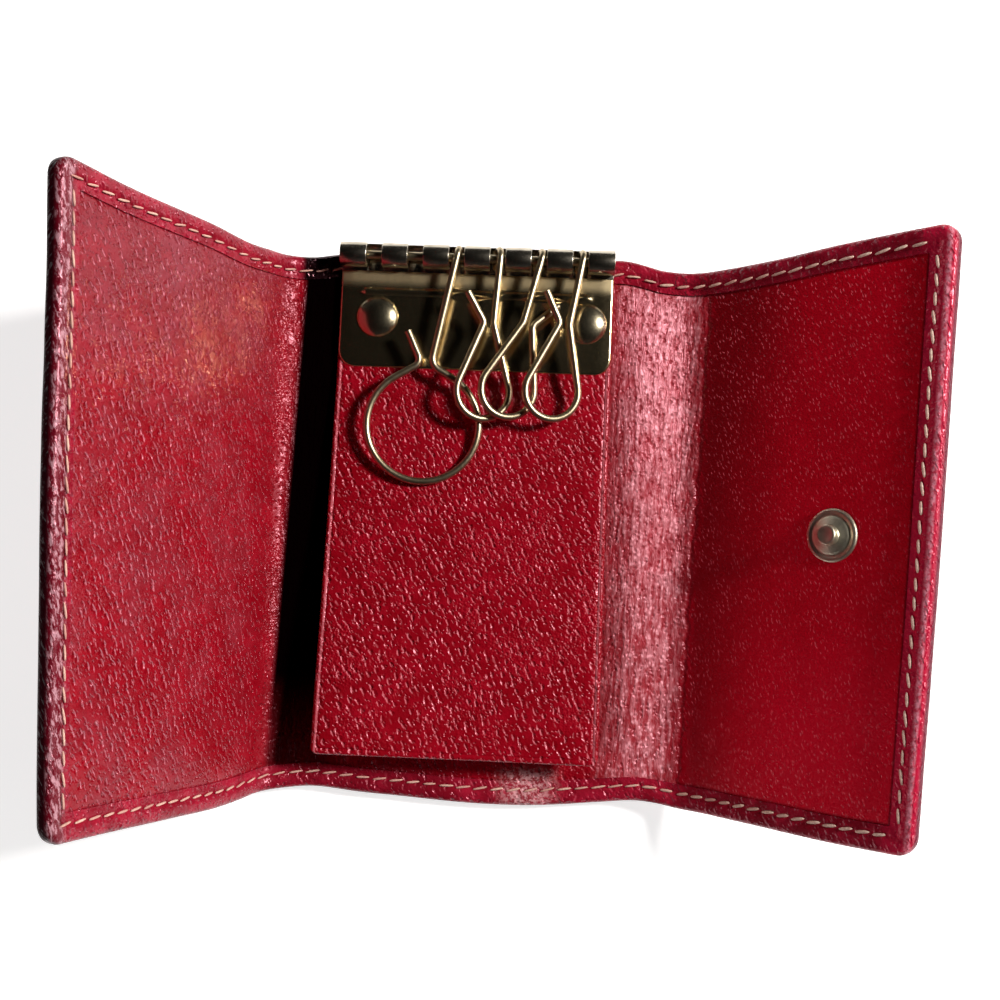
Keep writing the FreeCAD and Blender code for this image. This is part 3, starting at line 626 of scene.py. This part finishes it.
        grain = g.math("ADD", grain, g.times(g.cells(flat, 2.6), wing, 0.035))
        height = g.between(g.math("ADD", right_strip, left_strip), grain, wrinkle)
        height = g.math("ADD", height, g.ramp(s, 23, 42, 0.0, -4.6))
        crease = g.ramp(g.apart(right, 40.85), 0.0, 0.7, 0.25, 0.0)
        height = g.math("SUBTRACT", height, crease)
        # Painted sheen: a patchy pale haze over the left wing, with some greyish smudging; it turns darker towards the
        # top.
        sheen_and_smudge = g.ramp(g.noise(flat, 0.14, 4.0, 0.65), 0.35, 0.75)
        outer = g.ramp(left, -33, -42)
        colour = g.mix(g.times(outer, g.ramp(y, 0, 42, 0.3, 0.45), sheen_and_smudge), colour, Tone.SHEEN_VEIL)
        colour = g.mix(g.times(outer, g.ramp(y, 8, 44, 0.0, 0.3)), colour, Tone.UPPER_VEIL)
        # Painted light: the right wing's lining painted a far brighter red than the other panels, standing in for
        # light the lamps don't give it.
        red = g.mix(g.noise(flat, 0.2, 3.0, 0.6), Tone.LIT_WING_DEEP, Tone.WING)
        # Painted shade: the right wing darker near its fold.
        red = g.mix(g.ramp(g.math("MULTIPLY_ADD", y, -0.12, right), 40, 62), Tone.WING_FOLD_SHADE, red)
        # Painted light: brighter again towards the bottom of the right wing.
        red = g.mix(g.times(g.ramp(y, -8, -34), g.ramp(s, 46, 62)), red, Tone.LIT_WING_LOW)
        # Painted highlights: pink glints on the steep walls of the right wing's dots.
        red = g.mix(dot_wall, red, Tone.FLECK_GLINT)
        seam = g.math("MAXIMUM", g.ramp(s, 80.95, 81.4), g.ramp(g.math("ABSOLUTE", y), 45.0, 45.4, 0.0, 0.5))
        red = g.mix(g.times(seam, 0.8), red, Tone.SEAM)
        colour = g.mix(wing, colour, red)
        # Painted highlight: pale pink light along the ridges of the right strip, strongest in its middle.
        ridge_highlight = g.times(g.ramp(s, 25, 32.5, 0.42, 1.0), g.ramp(right, 40.6, 37.6, 0.3, 1.0))
        pebble = g.ramp(g.cells(g.mapped(g.bent(flat, 0.6, 0.7), 0, (1.0, 0.7, 0.0)), 1.5), 0.12, 0.55, 1.0, 0.35)
        ridge_highlight = g.times(right_strip, ridge_highlight, g.ramp(column, 0.195, 0.262, 0.15, 1.0), pebble)
        colour = g.mix(ridge_highlight, colour, Tone.RIDGE_HIGHLIGHT)
        colour = g.mix(g.times(right_strip, pits, 0.4), colour, Tone.PIT)
        # Painted highlights: the steep pore walls tinted as glints, pinker on the left wing, none on the right wing.
        tint = g.times(g.ramp(outer, 0.0, 1.0, 0.3, 0.6), g.ramp(wing, 0.0, 0.5, 1.0, 0.0))
        colour = g.mix(g.times(walls, tint), colour, g.mix(outer, self.pale, Tone.LEFT_WALL_GLINT))
        # Painted shadow: the lining black in the left fold, half as dark at the bottom, with its gloss taken away.
        dark = g.times(g.ramp(left, -33.6, -32.2), g.ramp(s, -22, -24), g.ramp(y, -46, -28, 0.5, 1.0))
        return height, g.mix(dark, colour, Tone.LEFT_FOLD), g.ramp(dark, 0.45, 1.0, 0.5, 0.0)


@dataclass(frozen=True)
class ThreadFinish:
    """Worn sewing thread, each stitch of its own tone."""

    name: str
    colour: Colour
    worn: Colour

    def build(self) -> bpy.types.Material:
        """Makes the material.

        Returns:
            The material.
        """
        g = Graph(self.name)
        flat = g.flat()
        twist = g.noise(flat, 3.0, 2.0, 0.6)
        tone = g.mix(g.attribute("wear"), self.colour, self.worn)
        tone = g.mix(g.ramp(g.split(flat)[0], 45, 75, 0.0, 0.8), tone, Tone.RIGHT_THREAD)
        g.set(base_color=g.mix(g.ramp(twist, 0.3, 0.75, 0.0, 0.7), tone, self.worn), roughness=0.75,
              normal=g.bump(twist, 0.08))
        return g.material


@dataclass(frozen=True)
class MetalFinish:
    """Plated metal with a thin patina and fine wear, brushed above a line if it has one."""

    name: str
    colour: Colour
    patina: Colour
    roughness: float
    share: float
    brushed_above: float | None = None
    metal: float = 1.0

    def build(self) -> bpy.types.Material:
        """Makes the material.

        Returns:
            The material.
        """
        g = Graph(self.name)
        place = g.object_place()
        stain = g.ramp(g.noise(place, 420, 4.0, 0.6), 0.4, 0.75, 0.0, self.share)
        fine = g.noise(place, 2600, 3.0, 0.6)
        rough = g.ramp(fine, 0.3, 0.7, self.roughness * 0.92, self.roughness * 1.08)
        if self.brushed_above is not None:
            start = self.brushed_above * MM
            brushed = g.ramp(g.split(place)[1], start - 0.4 * MM, start + 2.0 * MM, 0.0, 0.26)
            rough = g.math("ADD", rough, brushed)
        g.set(base_color=g.mix(stain, self.colour, self.patina), metallic=self.metal, roughness=rough,
              normal=g.bump(fine, 0.002))
        return g.material


class Finish(Enum):
    """The finishes of the object, by what they cover."""

    HEM = LeatherFinish("looks_hem_leather", (0.36, 0.009, 0.030), (0.22, 0.004, 0.014), (0.46, 0.07, 0.11), 0.26, 0.9,
                        Cut.SHELL)
    LINING = LeatherFinish("looks_lining_leather", (0.30, 0.002, 0.010), (0.225, 0.001, 0.006), (0.50, 0.11, 0.14),
                           0.27, 1.1, Cut.LINING)
    FLAP = LeatherFinish("looks_flap_leather", (0.32, 0.002, 0.011), (0.24, 0.001, 0.006), (0.66, 0.19, 0.23), 0.26,
                         1.25, Cut.TONGUE)
    THREAD = ThreadFinish("looks_thread", (0.82, 0.56, 0.44), (0.56, 0.27, 0.22))
    PLATE = MetalFinish("looks_plate_brass", (0.74, 0.59, 0.34), (0.50, 0.39, 0.21), 0.18, 0.4, 43.0, 0.993)
    BARREL = MetalFinish("looks_barrel_brass", (0.58, 0.52, 0.42), (0.28, 0.24, 0.17), 0.24, 0.6)
    STEEL = MetalFinish("looks_hook_steel", (0.53, 0.44, 0.29), (0.30, 0.24, 0.14), 0.35, 0.5)
    FIXING = MetalFinish("looks_fixing_brass", (0.72, 0.67, 0.55), (0.40, 0.35, 0.27), 0.32, 0.4)
    STUD = MetalFinish("looks_stud_brass", (0.74, 0.68, 0.53), (0.42, 0.37, 0.27), 0.46, 0.5)
    RIVET = MetalFinish("looks_rivet_brass", (0.64, 0.55, 0.37), (0.36, 0.30, 0.19), 0.23, 0.4)

    def material(self) -> bpy.types.Material:
        """The finish's material, made once."""
        return bpy.data.materials.get(self.value.name) or self.value.build()


def spaced(low: float, high: float, near_low: Sequence[float], near_high: Sequence[float], step: float) -> list[float]:
    """Grid lines between two ends, closer where an edge needs them.

    Args:
        low: First line.
        high: Last line.
        near_low: Distances of lines from the first.
        near_high: Distances of lines from the last.
        step: Largest gap elsewhere.

    Returns:
        The lines in order.
    """
    start = [low] + [low + d for d in near_low]
    stop = [high - d for d in reversed(near_high)] + [high]
    count = max(1, math.ceil((stop[0] - start[-1]) / step))
    inner = [start[-1] + (stop[0] - start[-1]) * k / count for k in range(1, count)]
    return start + inner + stop


def shaded(bm: bmesh.types.BMesh, degrees: float = 360.0) -> None:
    """Shades a mesh smooth, but not across edges that bend further than an angle.

    Args:
        bm: The mesh.
        degrees: The angle.
    """
    for edge in bm.edges:
        edge.smooth = edge.calc_face_angle(0) < math.radians(degrees)
    for face in bm.faces:
        face.smooth = True


def finished(bm: bmesh.types.BMesh, name: str) -> bpy.types.Object:
    """Turns a bmesh into an object of the scene.

    Args:
        bm: The mesh, freed afterwards.
        name: Name of the object.

    Returns:
        The object, at the origin.
    """
    mesh = bpy.data.meshes.new(name)
    bm.to_mesh(mesh)
    bm.free()
    piece = bpy.data.objects.new(name, mesh)
    bpy.context.scene.collection.objects.link(piece)
    return piece


def dressed(piece: bpy.types.Object, finish: Finish) -> bpy.types.Object:
    """Gives a piece its material.

    Args:
        piece: Mesh object.
        finish: Its finish.

    Returns:
        The piece.
    """
    piece.data.materials.clear()
    piece.data.materials.append(finish.material())
    return piece


@dataclass
class Slab:
    """A sheet with thickness: a grid in flat places, doubled into an upper and a lower face."""

    name: str
    s_lines: list[float]
    y_lines: list[float]
    flat_of: Callable[[float, float], Pair]
    heights: Callable[[float, float], Pair]
    place: Place

    def build(self) -> bpy.types.Object:
        """Makes the mesh object.

        Returns:
            The object, in place.
        """
        bm = bmesh.new()
        flat_layer = bm.verts.layers.float_vector.new("flat")
        nx, ny = len(self.s_lines), len(self.y_lines)
        bmesh.ops.create_grid(bm, x_segments=nx - 1, y_segments=ny - 1, size=1.0)
        lower = list(bm.verts)
        spots = [(self.s_lines[round((v.co.x + 1) / 2 * (nx - 1))], self.y_lines[round((v.co.y + 1) / 2 * (ny - 1))])
                 for v in lower]
        made = bmesh.ops.extrude_face_region(bm, geom=list(bm.faces), use_keep_orig=True)
        upper = [e for e in made["geom"] if isinstance(e, bmesh.types.BMVert)]
        spot_of = {tuple(round(c, 6) for c in v.co): spot for v, spot in zip(lower, spots)}
        for level, verts in enumerate((lower, upper)):
            for v in verts:
                s, y = self.flat_of(*spot_of[tuple(round(c, 6) for c in v.co)])
                v[flat_layer] = (s, y, self.heights(s, y)[level])
        for v in bm.verts:
            v.co = self.place(*v[flat_layer])
        bmesh.ops.recalc_face_normals(bm, faces=bm.faces)
        shaded(bm, 40)
        return finished(bm, self.name)


@dataclass(frozen=True)
class Outline:
    """The free edges of a sheet, rounded where two of them meet. None stands for an end without a free edge."""

    left: float | None
    right: float | None
    low: float | None
    high: float | None
    radius: float = 3.0

    def gaps(self, x: float, y: float) -> list[Pair]:
        """Distance from the nearest free edge and the way out to it, across and along."""
        spans = ((x, ((self.left, -1), (self.right, 1))), (y, ((self.low, -1), (self.high, 1))))
        return [min((((end - at) * way, way) for end, way in ends if end is not None), default=(math.inf, 1))
                for at, ends in spans]

    def rounded(self, x: float, y: float) -> Pair:
        """Draws the corners of a square grid in to quarter circles.

        Args:
            x: Grid place across.
            y: Grid place along.

        Returns:
            The place in the rounded sheet.
        """
        (dx, way_x), (dy, way_y) = self.gaps(x, y)
        u, v = self.radius - dx, self.radius - dy
        if u <= 0 or v <= 0:
            return x, y
        slack = 1 - max(u, v) / math.hypot(u, v)
        return x - way_x * u * slack, y - way_y * v * slack

    def inset(self, x: float, y: float) -> float:
        """Distance from the nearest free edge.

        Args:
            x: Place across.
            y: Place along.

        Returns:
            The distance.
        """
        (dx, _), (dy, _) = self.gaps(x, y)
        u, v = self.radius - dx, self.radius - dy
        return max(0.0, self.radius - math.hypot(u, v) if u > 0 and v > 0 else min(dx, dy))


class Panels:
    """The leather cut with its turned hem, the lining inside the hem, and the sewing along the edges."""

    HEM_LINES = (0.1, 0.35, 0.7, 1.1, 1.7, 2.3, 2.65, 2.9, 3.15, 3.5, 4.0, HEM_WIDTH, 4.5)
    HEM_SLOPE = 0.55
    EDGE_ROUND = 1.1
    LINING_LINES = (0.12, 0.4)
    LINING_START = 4.43
    LINING_FOOT = 1.52
    SHELL_FACE = 1.5
    STITCH_INSET = 2.9
    STITCH_PITCH = 3.02
    STITCH_LENGTH = 1.28
    STITCH_SLANT = 9
    GROOVE = 0.22
    GROOVE_WIDTH = 0.35

    def build(self) -> None:
        """Makes all the pieces of the leather cut."""
        for region in REGIONS:
            left, right = region.free()
            outline = Outline(region.low if left else None, region.high if right else None, -HALF_HEIGHT, HALF_HEIGHT)
            self.shell(region, outline)
            self.lining(region, outline)
            self.thread(region)
            LOG.info("built %s", region.name)

    def shell(self, region: Region, outline: Outline) -> None:
        """Outer leather of a region, with its hem.

        Args:
            region: The region.
            outline: Its free edges.
        """
        def heights(s: float, y: float) -> Pair:
            d = outline.inset(s, y)
            if d > HEM_WIDTH + 0.05:
                return 0.0, self.SHELL_FACE
            drop = edge_drop(self.EDGE_ROUND, d)
            groove = self.GROOVE * math.exp(-((d - self.STITCH_INSET) / self.GROOVE_WIDTH) ** 2)
            return drop, HEM_LEVEL - drop - groove - self.HEM_SLOPE * smooth(1.6, HEM_WIDTH, d)

        slab = Slab(f"{region.name}_shell", region.lines(0.0, self.HEM_LINES, 1.1),
                    spaced(-HALF_HEIGHT, HALF_HEIGHT, self.HEM_LINES, self.HEM_LINES, 1.4), outline.rounded, heights,
                    LEATHER.place)
        piece = dressed(slab.build(), Finish.HEM)
        region.blend(piece)
        if region.leather_nodes:
            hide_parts(*region.leather_nodes)

    def lining(self, region: Region, outline: Outline) -> None:
        """Lining of a region, inside the hem.

        Args:
            region: The region.
            outline: Its free edges.
        """
        def heights(s: float, y: float) -> Pair:
            d = outline.inset(s, y) - self.LINING_START
            return self.LINING_FOOT, LINING_LEVEL - 0.08 * (1 - smooth(0, 0.45, d))

        top = HALF_HEIGHT - self.LINING_START
        slab = Slab(f"{region.name}_lining", region.lines(self.LINING_START, self.LINING_LINES, 0.9),
                    spaced(-top, top, self.LINING_LINES, self.LINING_LINES, 1.2), lambda s, y: (s, y), heights,
                    LEATHER.place)
        piece = dressed(slab.build(), Finish.LINING)
        region.blend(piece)
        if region.lining_nodes:
            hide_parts(*region.lining_nodes)

    def stitches(self, region: Region) -> Iterable[Triple]:
        """Where the stitches of a region lie.

        Args:
            region: The region.

        Yields:
            Flat place and direction of each stitch.
        """
        edge = HALF_HEIGHT - self.STITCH_INSET
        low, high = region.span(self.STITCH_INSET)
        left, right = region.free()
        pitch = self.STITCH_PITCH
        for number in range(-40, 40):
            s = (number + 0.5) * pitch
            if low + 0.4 < s < high - 0.4 or (low < s < high and not (left or right)):
                yield s, edge, 0.0
                yield s, -edge, math.pi
        for free, s, turn in ((left, low, math.pi / 2), (right, high, -math.pi / 2)):
            if free:
                count = int((2 * edge - 1.0) // pitch)
                for number in range(count):
                    yield s, (number - (count - 1) / 2) * pitch, turn

    def thread(self, region: Region) -> None:
        """Sewing thread of a region, on both faces.

        Args:
            region: The region.
        """
        rng = random.Random(region.name)
        half_width, half_height = 0.28 if region.low > 30 else 0.21, 0.2
        bm = bmesh.new()
        flat_layer = bm.verts.layers.float_vector.new("flat")
        wear_layer = bm.verts.layers.float.new("wear")
        for s, y, turn in self.stitches(region):
            for level, way in ((HEM_LEVEL - 0.15, 1), (0.02, -1)):
                made = bmesh.ops.create_uvsphere(bm, u_segments=8, v_segments=5, radius=1.0)["verts"]
                slant = turn + way * math.radians(self.STITCH_SLANT + rng.uniform(-5, 5))
                length = self.STITCH_LENGTH + rng.uniform(-0.16, 0.08)
                wear = rng.random()
                for v in made:
                    along = math.copysign(abs(v.co.z) ** 0.7, v.co.z) * length
                    across, up = v.co.x * half_width, v.co.y * half_height
                    ps = s + along * math.cos(slant) - across * math.sin(slant)
                    py = y + along * math.sin(slant) + across * math.cos(slant)
                    v[flat_layer] = (ps, py, level + way * up)
                    v[wear_layer] = wear
        for v in bm.verts:
            v.co = LEATHER.place(*v[flat_layer])
        bmesh.ops.recalc_face_normals(bm, faces=bm.faces)
        shaded(bm)
        piece = dressed(finished(bm, f"{region.name}_thread"), Finish.THREAD)
        region.blend(piece)


class Flap:
    """The leather tongue under the key plate, free and lifted at its lower end."""

    HINGE_Y = 28.5
    TOP_Y = 45.4
    END_Y = -41.5
    HALF_WIDTH = 25.1
    THICK = 1.2
    REACH = 4.0
    FOLDS = (Fold(TOP_Y - HINGE_Y, 4.5, REACH),)
    OUTLINE = Outline(-HALF_WIDTH, HALF_WIDTH, END_Y, None, 1.5)
    EDGE_ROUND = 0.5
    SCORE = 0.14
    EDGE_LINES = (0.08, 0.25, 0.5, 0.8, 1.0, 1.2, 1.5)

    def place(self, s: float, y: float, h: float) -> Vector:
        """Maps a flat place of the flap to space.

        Args:
            s: Place across.
            y: Flat place along.
            h: Height above the flap's lower face.

        Returns:
            The place at rest, in metres.
        """
        run, z, angle = follow(self.TOP_Y - y, self.FOLDS)
        free = smooth(18, 70, self.HINGE_Y - y)
        up = h + 1.5 * free * smooth(4, -25, s) + 0.4 * free * (s / self.HALF_WIDTH) ** 2
        up += 0.22 * free * noise.noise(Vector((s / 15, y / 19, 11.3)))
        return Vector((s, self.TOP_Y - run + up * math.sin(angle), LINING_LEVEL + z + up * math.cos(angle))) * MM

    def heights(self, s: float, y: float) -> Pair:
        """Lower and upper face, with a scored line inside the edges.

        Args:
            s: Place across.
            y: Flat place along.

        Returns:
            The two heights.
        """
        d = min(self.HALF_WIDTH - abs(s), y - self.END_Y)
        drop = edge_drop(self.EDGE_ROUND, d)
        score = self.SCORE * math.exp(-((d - 1.0) / 0.16) ** 2)
        return 0.02 + drop * 0.8, self.THICK - drop - score

    def build(self) -> None:
        """Makes the flap."""
        slab = Slab("flap_tongue", spaced(-self.HALF_WIDTH, self.HALF_WIDTH, self.EDGE_LINES, self.EDGE_LINES, 0.9),
                    spaced(self.END_Y, self.TOP_Y, self.EDGE_LINES, (), 1.0), self.OUTLINE.rounded, self.heights,
                    self.place)
        piece = dressed(slab.build(), Finish.FLAP)
        self.place(0, self.HINGE_Y + self.REACH, self.THICK)
        self.place(0, self.HINGE_Y - self.REACH, self.THICK)
        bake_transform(piece)
        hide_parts("flap_root", "key_flap")
        LOG.info("built flap")


@dataclass
class Lathe:
    """A turned piece: an outline of radius and height spun about an axis."""

    name: str
    outline: tuple[Pair, ...]
    steps: int = 64

    def build(self, foot: Vector, axis: Vector) -> bpy.types.Object:
        """Makes the mesh object.

        Args:
            foot: Where the outline's height is 0, in millimetres.
            axis: Direction of its height.

        Returns:
            The object, in place.
        """
        bm = bmesh.new()
        verts = [bm.verts.new((radius, 0, height)) for radius, height in self.outline]
        edges = [bm.edges.new(pair) for pair in zip(verts, verts[1:])]
        bmesh.ops.spin(bm, geom=verts + edges, cent=(0, 0, 0), axis=(0, 0, 1), angle=2 * math.pi, steps=self.steps,
                       use_merge=True, use_duplicate=False)
        bmesh.ops.remove_doubles(bm, verts=bm.verts, dist=1e-4)
        rim = [e for e in bm.edges if e.is_boundary]
        if rim:
            bmesh.ops.holes_fill(bm, edges=rim, sides=0)
        bmesh.ops.recalc_face_normals(bm, faces=bm.faces)
        turn = axis.to_track_quat("Z", "Y").to_matrix().to_4x4()
        bmesh.ops.transform(bm, verts=bm.verts, matrix=Matrix.Scale(MM, 4) @ Matrix.Translation(foot) @ turn)
        shaded(bm, 42)
        return finished(bm, self.name)


class KeyPlate:
    """The riveted plate with its rolled barrel and embossed rib, and the two rivets."""

    LEVEL = 3.6
    SHEET = 0.5
    LOW_Y = 28.5
    HIGH_Y = 46.3
    HALF_WIDTH = 25.0
    OUTLINE = Outline(-HALF_WIDTH, HALF_WIDTH, LOW_Y, None)
    EDGE_ROUND = 0.4
    SWELL = 0.12
    BAR_Y = 48.85
    BAR_Z = 5.85
    ROLL = 318
    SLOTS = 6
    SLOT = 2.8
    SLOT_FLOOR = 0.18
    SLOT_ROLL = 80
    PITCH = 7.5
    RIB = 0.5
    RIB_Y = 42.5
    RIB_HALF = 21.2
    EDGE_LINES = (0.05, 0.14, 0.28, 0.5, 0.9)
    RIVETS = (("rivet_left", -18.0), ("rivet_right", 20.2))
    RIVET_Y = 37.9
    DOME = ((0, 1.4), (0.65, 1.38), (1.3, 1.3), (1.95, 1.16), (2.55, 0.95), (3.1, 0.69), (3.5, 0.38), (3.72, 0.18),
            (3.8, 0.0), (3.5, -0.2))

    def build(self) -> None:
        """Makes the plate, its barrel and its rivets."""
        self.sheet()
        self.barrel()
        self.rivets()
        LOG.info("built key plate")

    def heights(self, x: float, y: float) -> Pair:
        """Lower and upper face of the sheet.

        Args:
            x: Place across.
            y: Place along.

        Returns:
            The two heights.
        """
        d = self.OUTLINE.inset(x, y)
        reach = math.hypot(max(0.0, abs(x) - self.RIB_HALF + 0.9), y - self.RIB_Y)
        rib = self.RIB * (1 - smooth(0.15, 0.95, reach))
        swell = self.SWELL * smooth(0.2, 2.2, d)
        top = self.LEVEL + self.SHEET - edge_drop(self.EDGE_ROUND, d) + rib + swell - self.SWELL
        return self.LEVEL + 0.02, top

    def sheet(self) -> None:
        """The flat part of the plate."""
        y_lines = spaced(self.LOW_Y, self.HIGH_Y, self.EDGE_LINES, (), 0.3)
        x_lines = spaced(-self.HALF_WIDTH, self.HALF_WIDTH, self.EDGE_LINES, self.EDGE_LINES, 0.6)
        slab = Slab("plate_sheet", x_lines, y_lines, self.OUTLINE.rounded, self.heights,
                    lambda x, y, z: Vector((x, y, z)) * MM)
        piece = dressed(slab.build(), Finish.PLATE)
        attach(piece, "back")
        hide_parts("hook_plate")

    def barrel(self) -> None:
        """The rolled barrel, in seven lengths between six slots."""
        ends = [-self.HALF_WIDTH]
        for slot in range(self.SLOTS):
            middle = (slot - (self.SLOTS - 1) / 2) * self.PITCH
            ends += [middle - self.SLOT / 2, middle + self.SLOT / 2]
        ends.append(self.HALF_WIDTH)
        bm = bmesh.new()
        for low, high in zip(ends[::2], ends[1::2]):
            self.length(bm, low, high, self.SHEET, self.ROLL)
        for low, high in zip(ends[1::2], ends[2::2]):
            self.length(bm, low, high, self.SLOT_FLOOR, self.SLOT_ROLL)
        bmesh.ops.recalc_face_normals(bm, faces=bm.faces)
        corners = [e for e in bm.edges if e.calc_face_angle(0) > math.radians(50)]
        bmesh.ops.bevel(bm, geom=corners, offset=0.12 * MM, segments=2, profile=0.5, affect="EDGES", material=-1)
        shaded(bm, 45)
        piece = dressed(finished(bm, "plate_barrel"), Finish.BARREL)
        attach(piece, "back")

    def length(self, bm: bmesh.types.BMesh, low: float, high: float, thick: float, degrees: float) -> None:
        """One length of the barrel: a tongue of sheet, rolled up and over.

        Args:
            bm: Mesh to add to.
            low: Its left end.
            high: Its right end.
            thick: Thickness of its sheet, thinner in the slots.
            degrees: How far it is rolled.
        """
        made = bmesh.ops.create_grid(bm, x_segments=1, y_segments=1, size=0.5)["verts"]
        for v in made:
            v.co = Vector((low + (v.co.x + 0.5) * (high - low), self.HIGH_Y - 0.1,
                           self.LEVEL + 0.02 + (v.co.y + 0.5) * (thick - 0.02))) * MM
        face = made[0].link_faces[0]
        run = bmesh.ops.extrude_face_region(bm, geom=[face], use_keep_orig=True)["geom"]
        moved = [v for v in run if isinstance(v, bmesh.types.BMVert)]
        bmesh.ops.translate(bm, verts=moved, vec=(0, (self.BAR_Y - self.HIGH_Y + 0.1) * MM, 0))
        end = [f for f in run if isinstance(f, bmesh.types.BMFace)]
        bmesh.ops.spin(bm, geom=end, cent=Vector((0, self.BAR_Y, self.BAR_Z)) * MM, axis=(1, 0, 0),
                       angle=math.radians(degrees), steps=int(degrees / 8), use_duplicate=False)

    def rivets(self) -> None:
        """The domed heads of the two rivets."""
        for node, x in self.RIVETS:
            piece = Lathe(f"{node}_head", self.DOME).build(Vector((x, self.RIVET_Y, self.LEVEL + self.SHEET)),
                                                           Vector((0, 0, 1)))
            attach(dressed(piece, Finish.RIVET), "back")
            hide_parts(node)


class Metalwork:
    """The snap stud, and the metal pieces whose frame shapes are kept and dressed."""

    STUD = ((0, 2.5), (1.0, 2.5), (1.25, 2.58), (1.48, 2.58), (1.64, 2.45), (1.7, 2.2), (1.7, 1.95), (1.58, 1.75),
            (1.56, 1.02), (1.66, 0.9), (1.95, 0.86), (2.05, 0.78), (2.3, 0.76), (2.4, 0.68), (2.65, 0.66),
            (2.75, 0.58), (3.0, 0.56), (3.1, 0.46), (3.35, 0.36), (3.6, 0.38), (3.85, 0.48), (4.1, 0.5), (4.35, 0.4),
            (4.5, 0.18), (4.5, 0.0))
    STEEL = ("hook_bar", "ring_hook", "pear_hook_left", "pear_hook_middle", "pear_hook_right")
    FIXINGS = ("washer_left", "washer_right", "stud_eyelet", "snap_socket", "socket_eyelet", "socket_spring")

    def build(self) -> None:
        """Makes the stud and dresses the kept nodes."""
        x, z, angle = LEATHER.chain(STUD_S)
        axis = Vector((-math.sin(angle), 0, math.cos(angle)))
        foot = Vector((x, STUD_Y, z)) + axis * (LINING_LEVEL - HEM_LEVEL)
        stud = dressed(Lathe("stud_cap", self.STUD).build(foot, axis), Finish.STUD)
        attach(stud, "right_wing")
        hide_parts("snap_stud")
        for node in self.STEEL:
            dressed(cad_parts[node], Finish.STEEL)
        for node in self.FIXINGS:
            dressed(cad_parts[node], Finish.FIXING)
        LOG.info("built stud and dressed %d nodes", len(self.STEEL + self.FIXINGS))


@dataclass(frozen=True)
class Lamp:
    """A square lamp that faces the case: direction to it, metres to it and along its side, watts, colour."""

    name: str
    towards: Triple
    distance: float
    size: float
    power: float
    colour: Colour
    mirrored: bool = True

    def build(self) -> None:
        """Adds the lamp, which glossy surfaces show only if it is mirrored."""
        data = bpy.data.lights.new(self.name, "AREA")
        data.size, data.energy, data.color = self.size, self.power, self.colour
        lamp = bpy.data.objects.new(self.name, data)
        direction = Vector(self.towards).normalized()
        lamp.location = direction * self.distance
        lamp.rotation_euler = direction.to_track_quat("Z", "Y").to_euler()
        lamp.visible_glossy = self.mirrored
        bpy.context.scene.collection.objects.link(lamp)


class Studio:
    """Camera, light and floor."""

    EYE = (12.616, -10.539, 230.853)
    TURN = (3.998, 1.517, 2.486)
    LENS = 45.17
    SENSOR = 36.0
    LAMPS = (
        Lamp("key", (0.73, 0.28, 0.62), 0.9, 0.14, 10.5, (1.0, 0.97, 0.94)),
        Lamp("side", (0.95, 0.05, 0.25), 0.8, 0.4, 1.2, (1.0, 0.98, 0.96)),
        Lamp("fill", (-0.75, -0.35, 0.50), 0.9, 0.4, 2.2, (1.0, 0.99, 0.97), False),
    )
    SKY = {"From Min": 0.25, "From Max": 0.88, "To Min": 0.6, "To Max": 0.03}
    FLOOR_SIZE = 1.5
    FLOOR_Z = -0.0002
    FLOOR_GLOW = 0.65

    def build(self) -> None:
        """Makes the camera, the lamps, the world and the floor."""
        self.camera()
        for lamp in self.LAMPS:
            lamp.build()
        self.world()
        self.floor()
        LOG.info("built studio")

    def camera(self) -> None:
        """Looks down at the case as in the photo."""
        data = bpy.data.cameras.new("camera")
        data.lens, data.sensor_width = self.LENS, self.SENSOR
        data.clip_start = 0.01
        camera = bpy.data.objects.new("camera", data)
        camera.location = Vector(self.EYE) * MM
        camera.rotation_euler = [math.radians(a) for a in self.TURN]
        bpy.context.scene.collection.objects.link(camera)
        bpy.context.scene.camera = camera

    def world(self) -> None:
        """Dim overhead and brighter near the horizon."""
        world = bpy.data.worlds.new("studio")
        bpy.context.scene.world = world
        world.use_nodes = True
        tree = world.node_tree
        place, split, span = (tree.nodes.new(f"ShaderNode{kind}") for kind in ("TexCoord", "SeparateXYZ", "MapRange"))
        span.interpolation_type = "SMOOTHSTEP"
        for name, value in self.SKY.items():
            span.inputs[name].default_value = value
        tree.links.new(place.outputs["Generated"], split.inputs[0])
        tree.links.new(split.outputs["Z"], span.inputs["Value"])
        tree.links.new(span.outputs[0], tree.nodes["Background"].inputs["Strength"])

    def floor(self) -> None:
        """A pale floor under the case."""
        bm = bmesh.new()
        bmesh.ops.create_grid(bm, x_segments=1, y_segments=1, size=self.FLOOR_SIZE)
        for v in bm.verts:
            v.co.z = self.FLOOR_Z
        floor = finished(bm, "floor")
        g = Graph("floor")
        rays = g.add("ShaderNodeLightPath", {}, {}).outputs
        seen = g.math("MAXIMUM", g.math("MAXIMUM", rays["Is Camera Ray"], rays["Is Glossy Ray"]),
                      rays["Is Transmission Ray"])
        g.set(base_color=(0.9, 0.9, 0.9), roughness=0.9, emission_color=(1.0, 1.0, 1.0),
              emission_strength=g.times(seen, self.FLOOR_GLOW))
        floor.data.materials.append(g.material)


def main() -> None:
    """Builds the looks."""
    logging.basicConfig(level=logging.INFO, format="%(name)s: %(message)s")
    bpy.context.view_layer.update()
    Panels().build()
    Flap().build()
    KeyPlate().build()
    Metalwork().build()
    Studio().build()
    bpy.context.scene.view_settings.view_transform = "Standard"


if __name__ == "__main__":
    main()
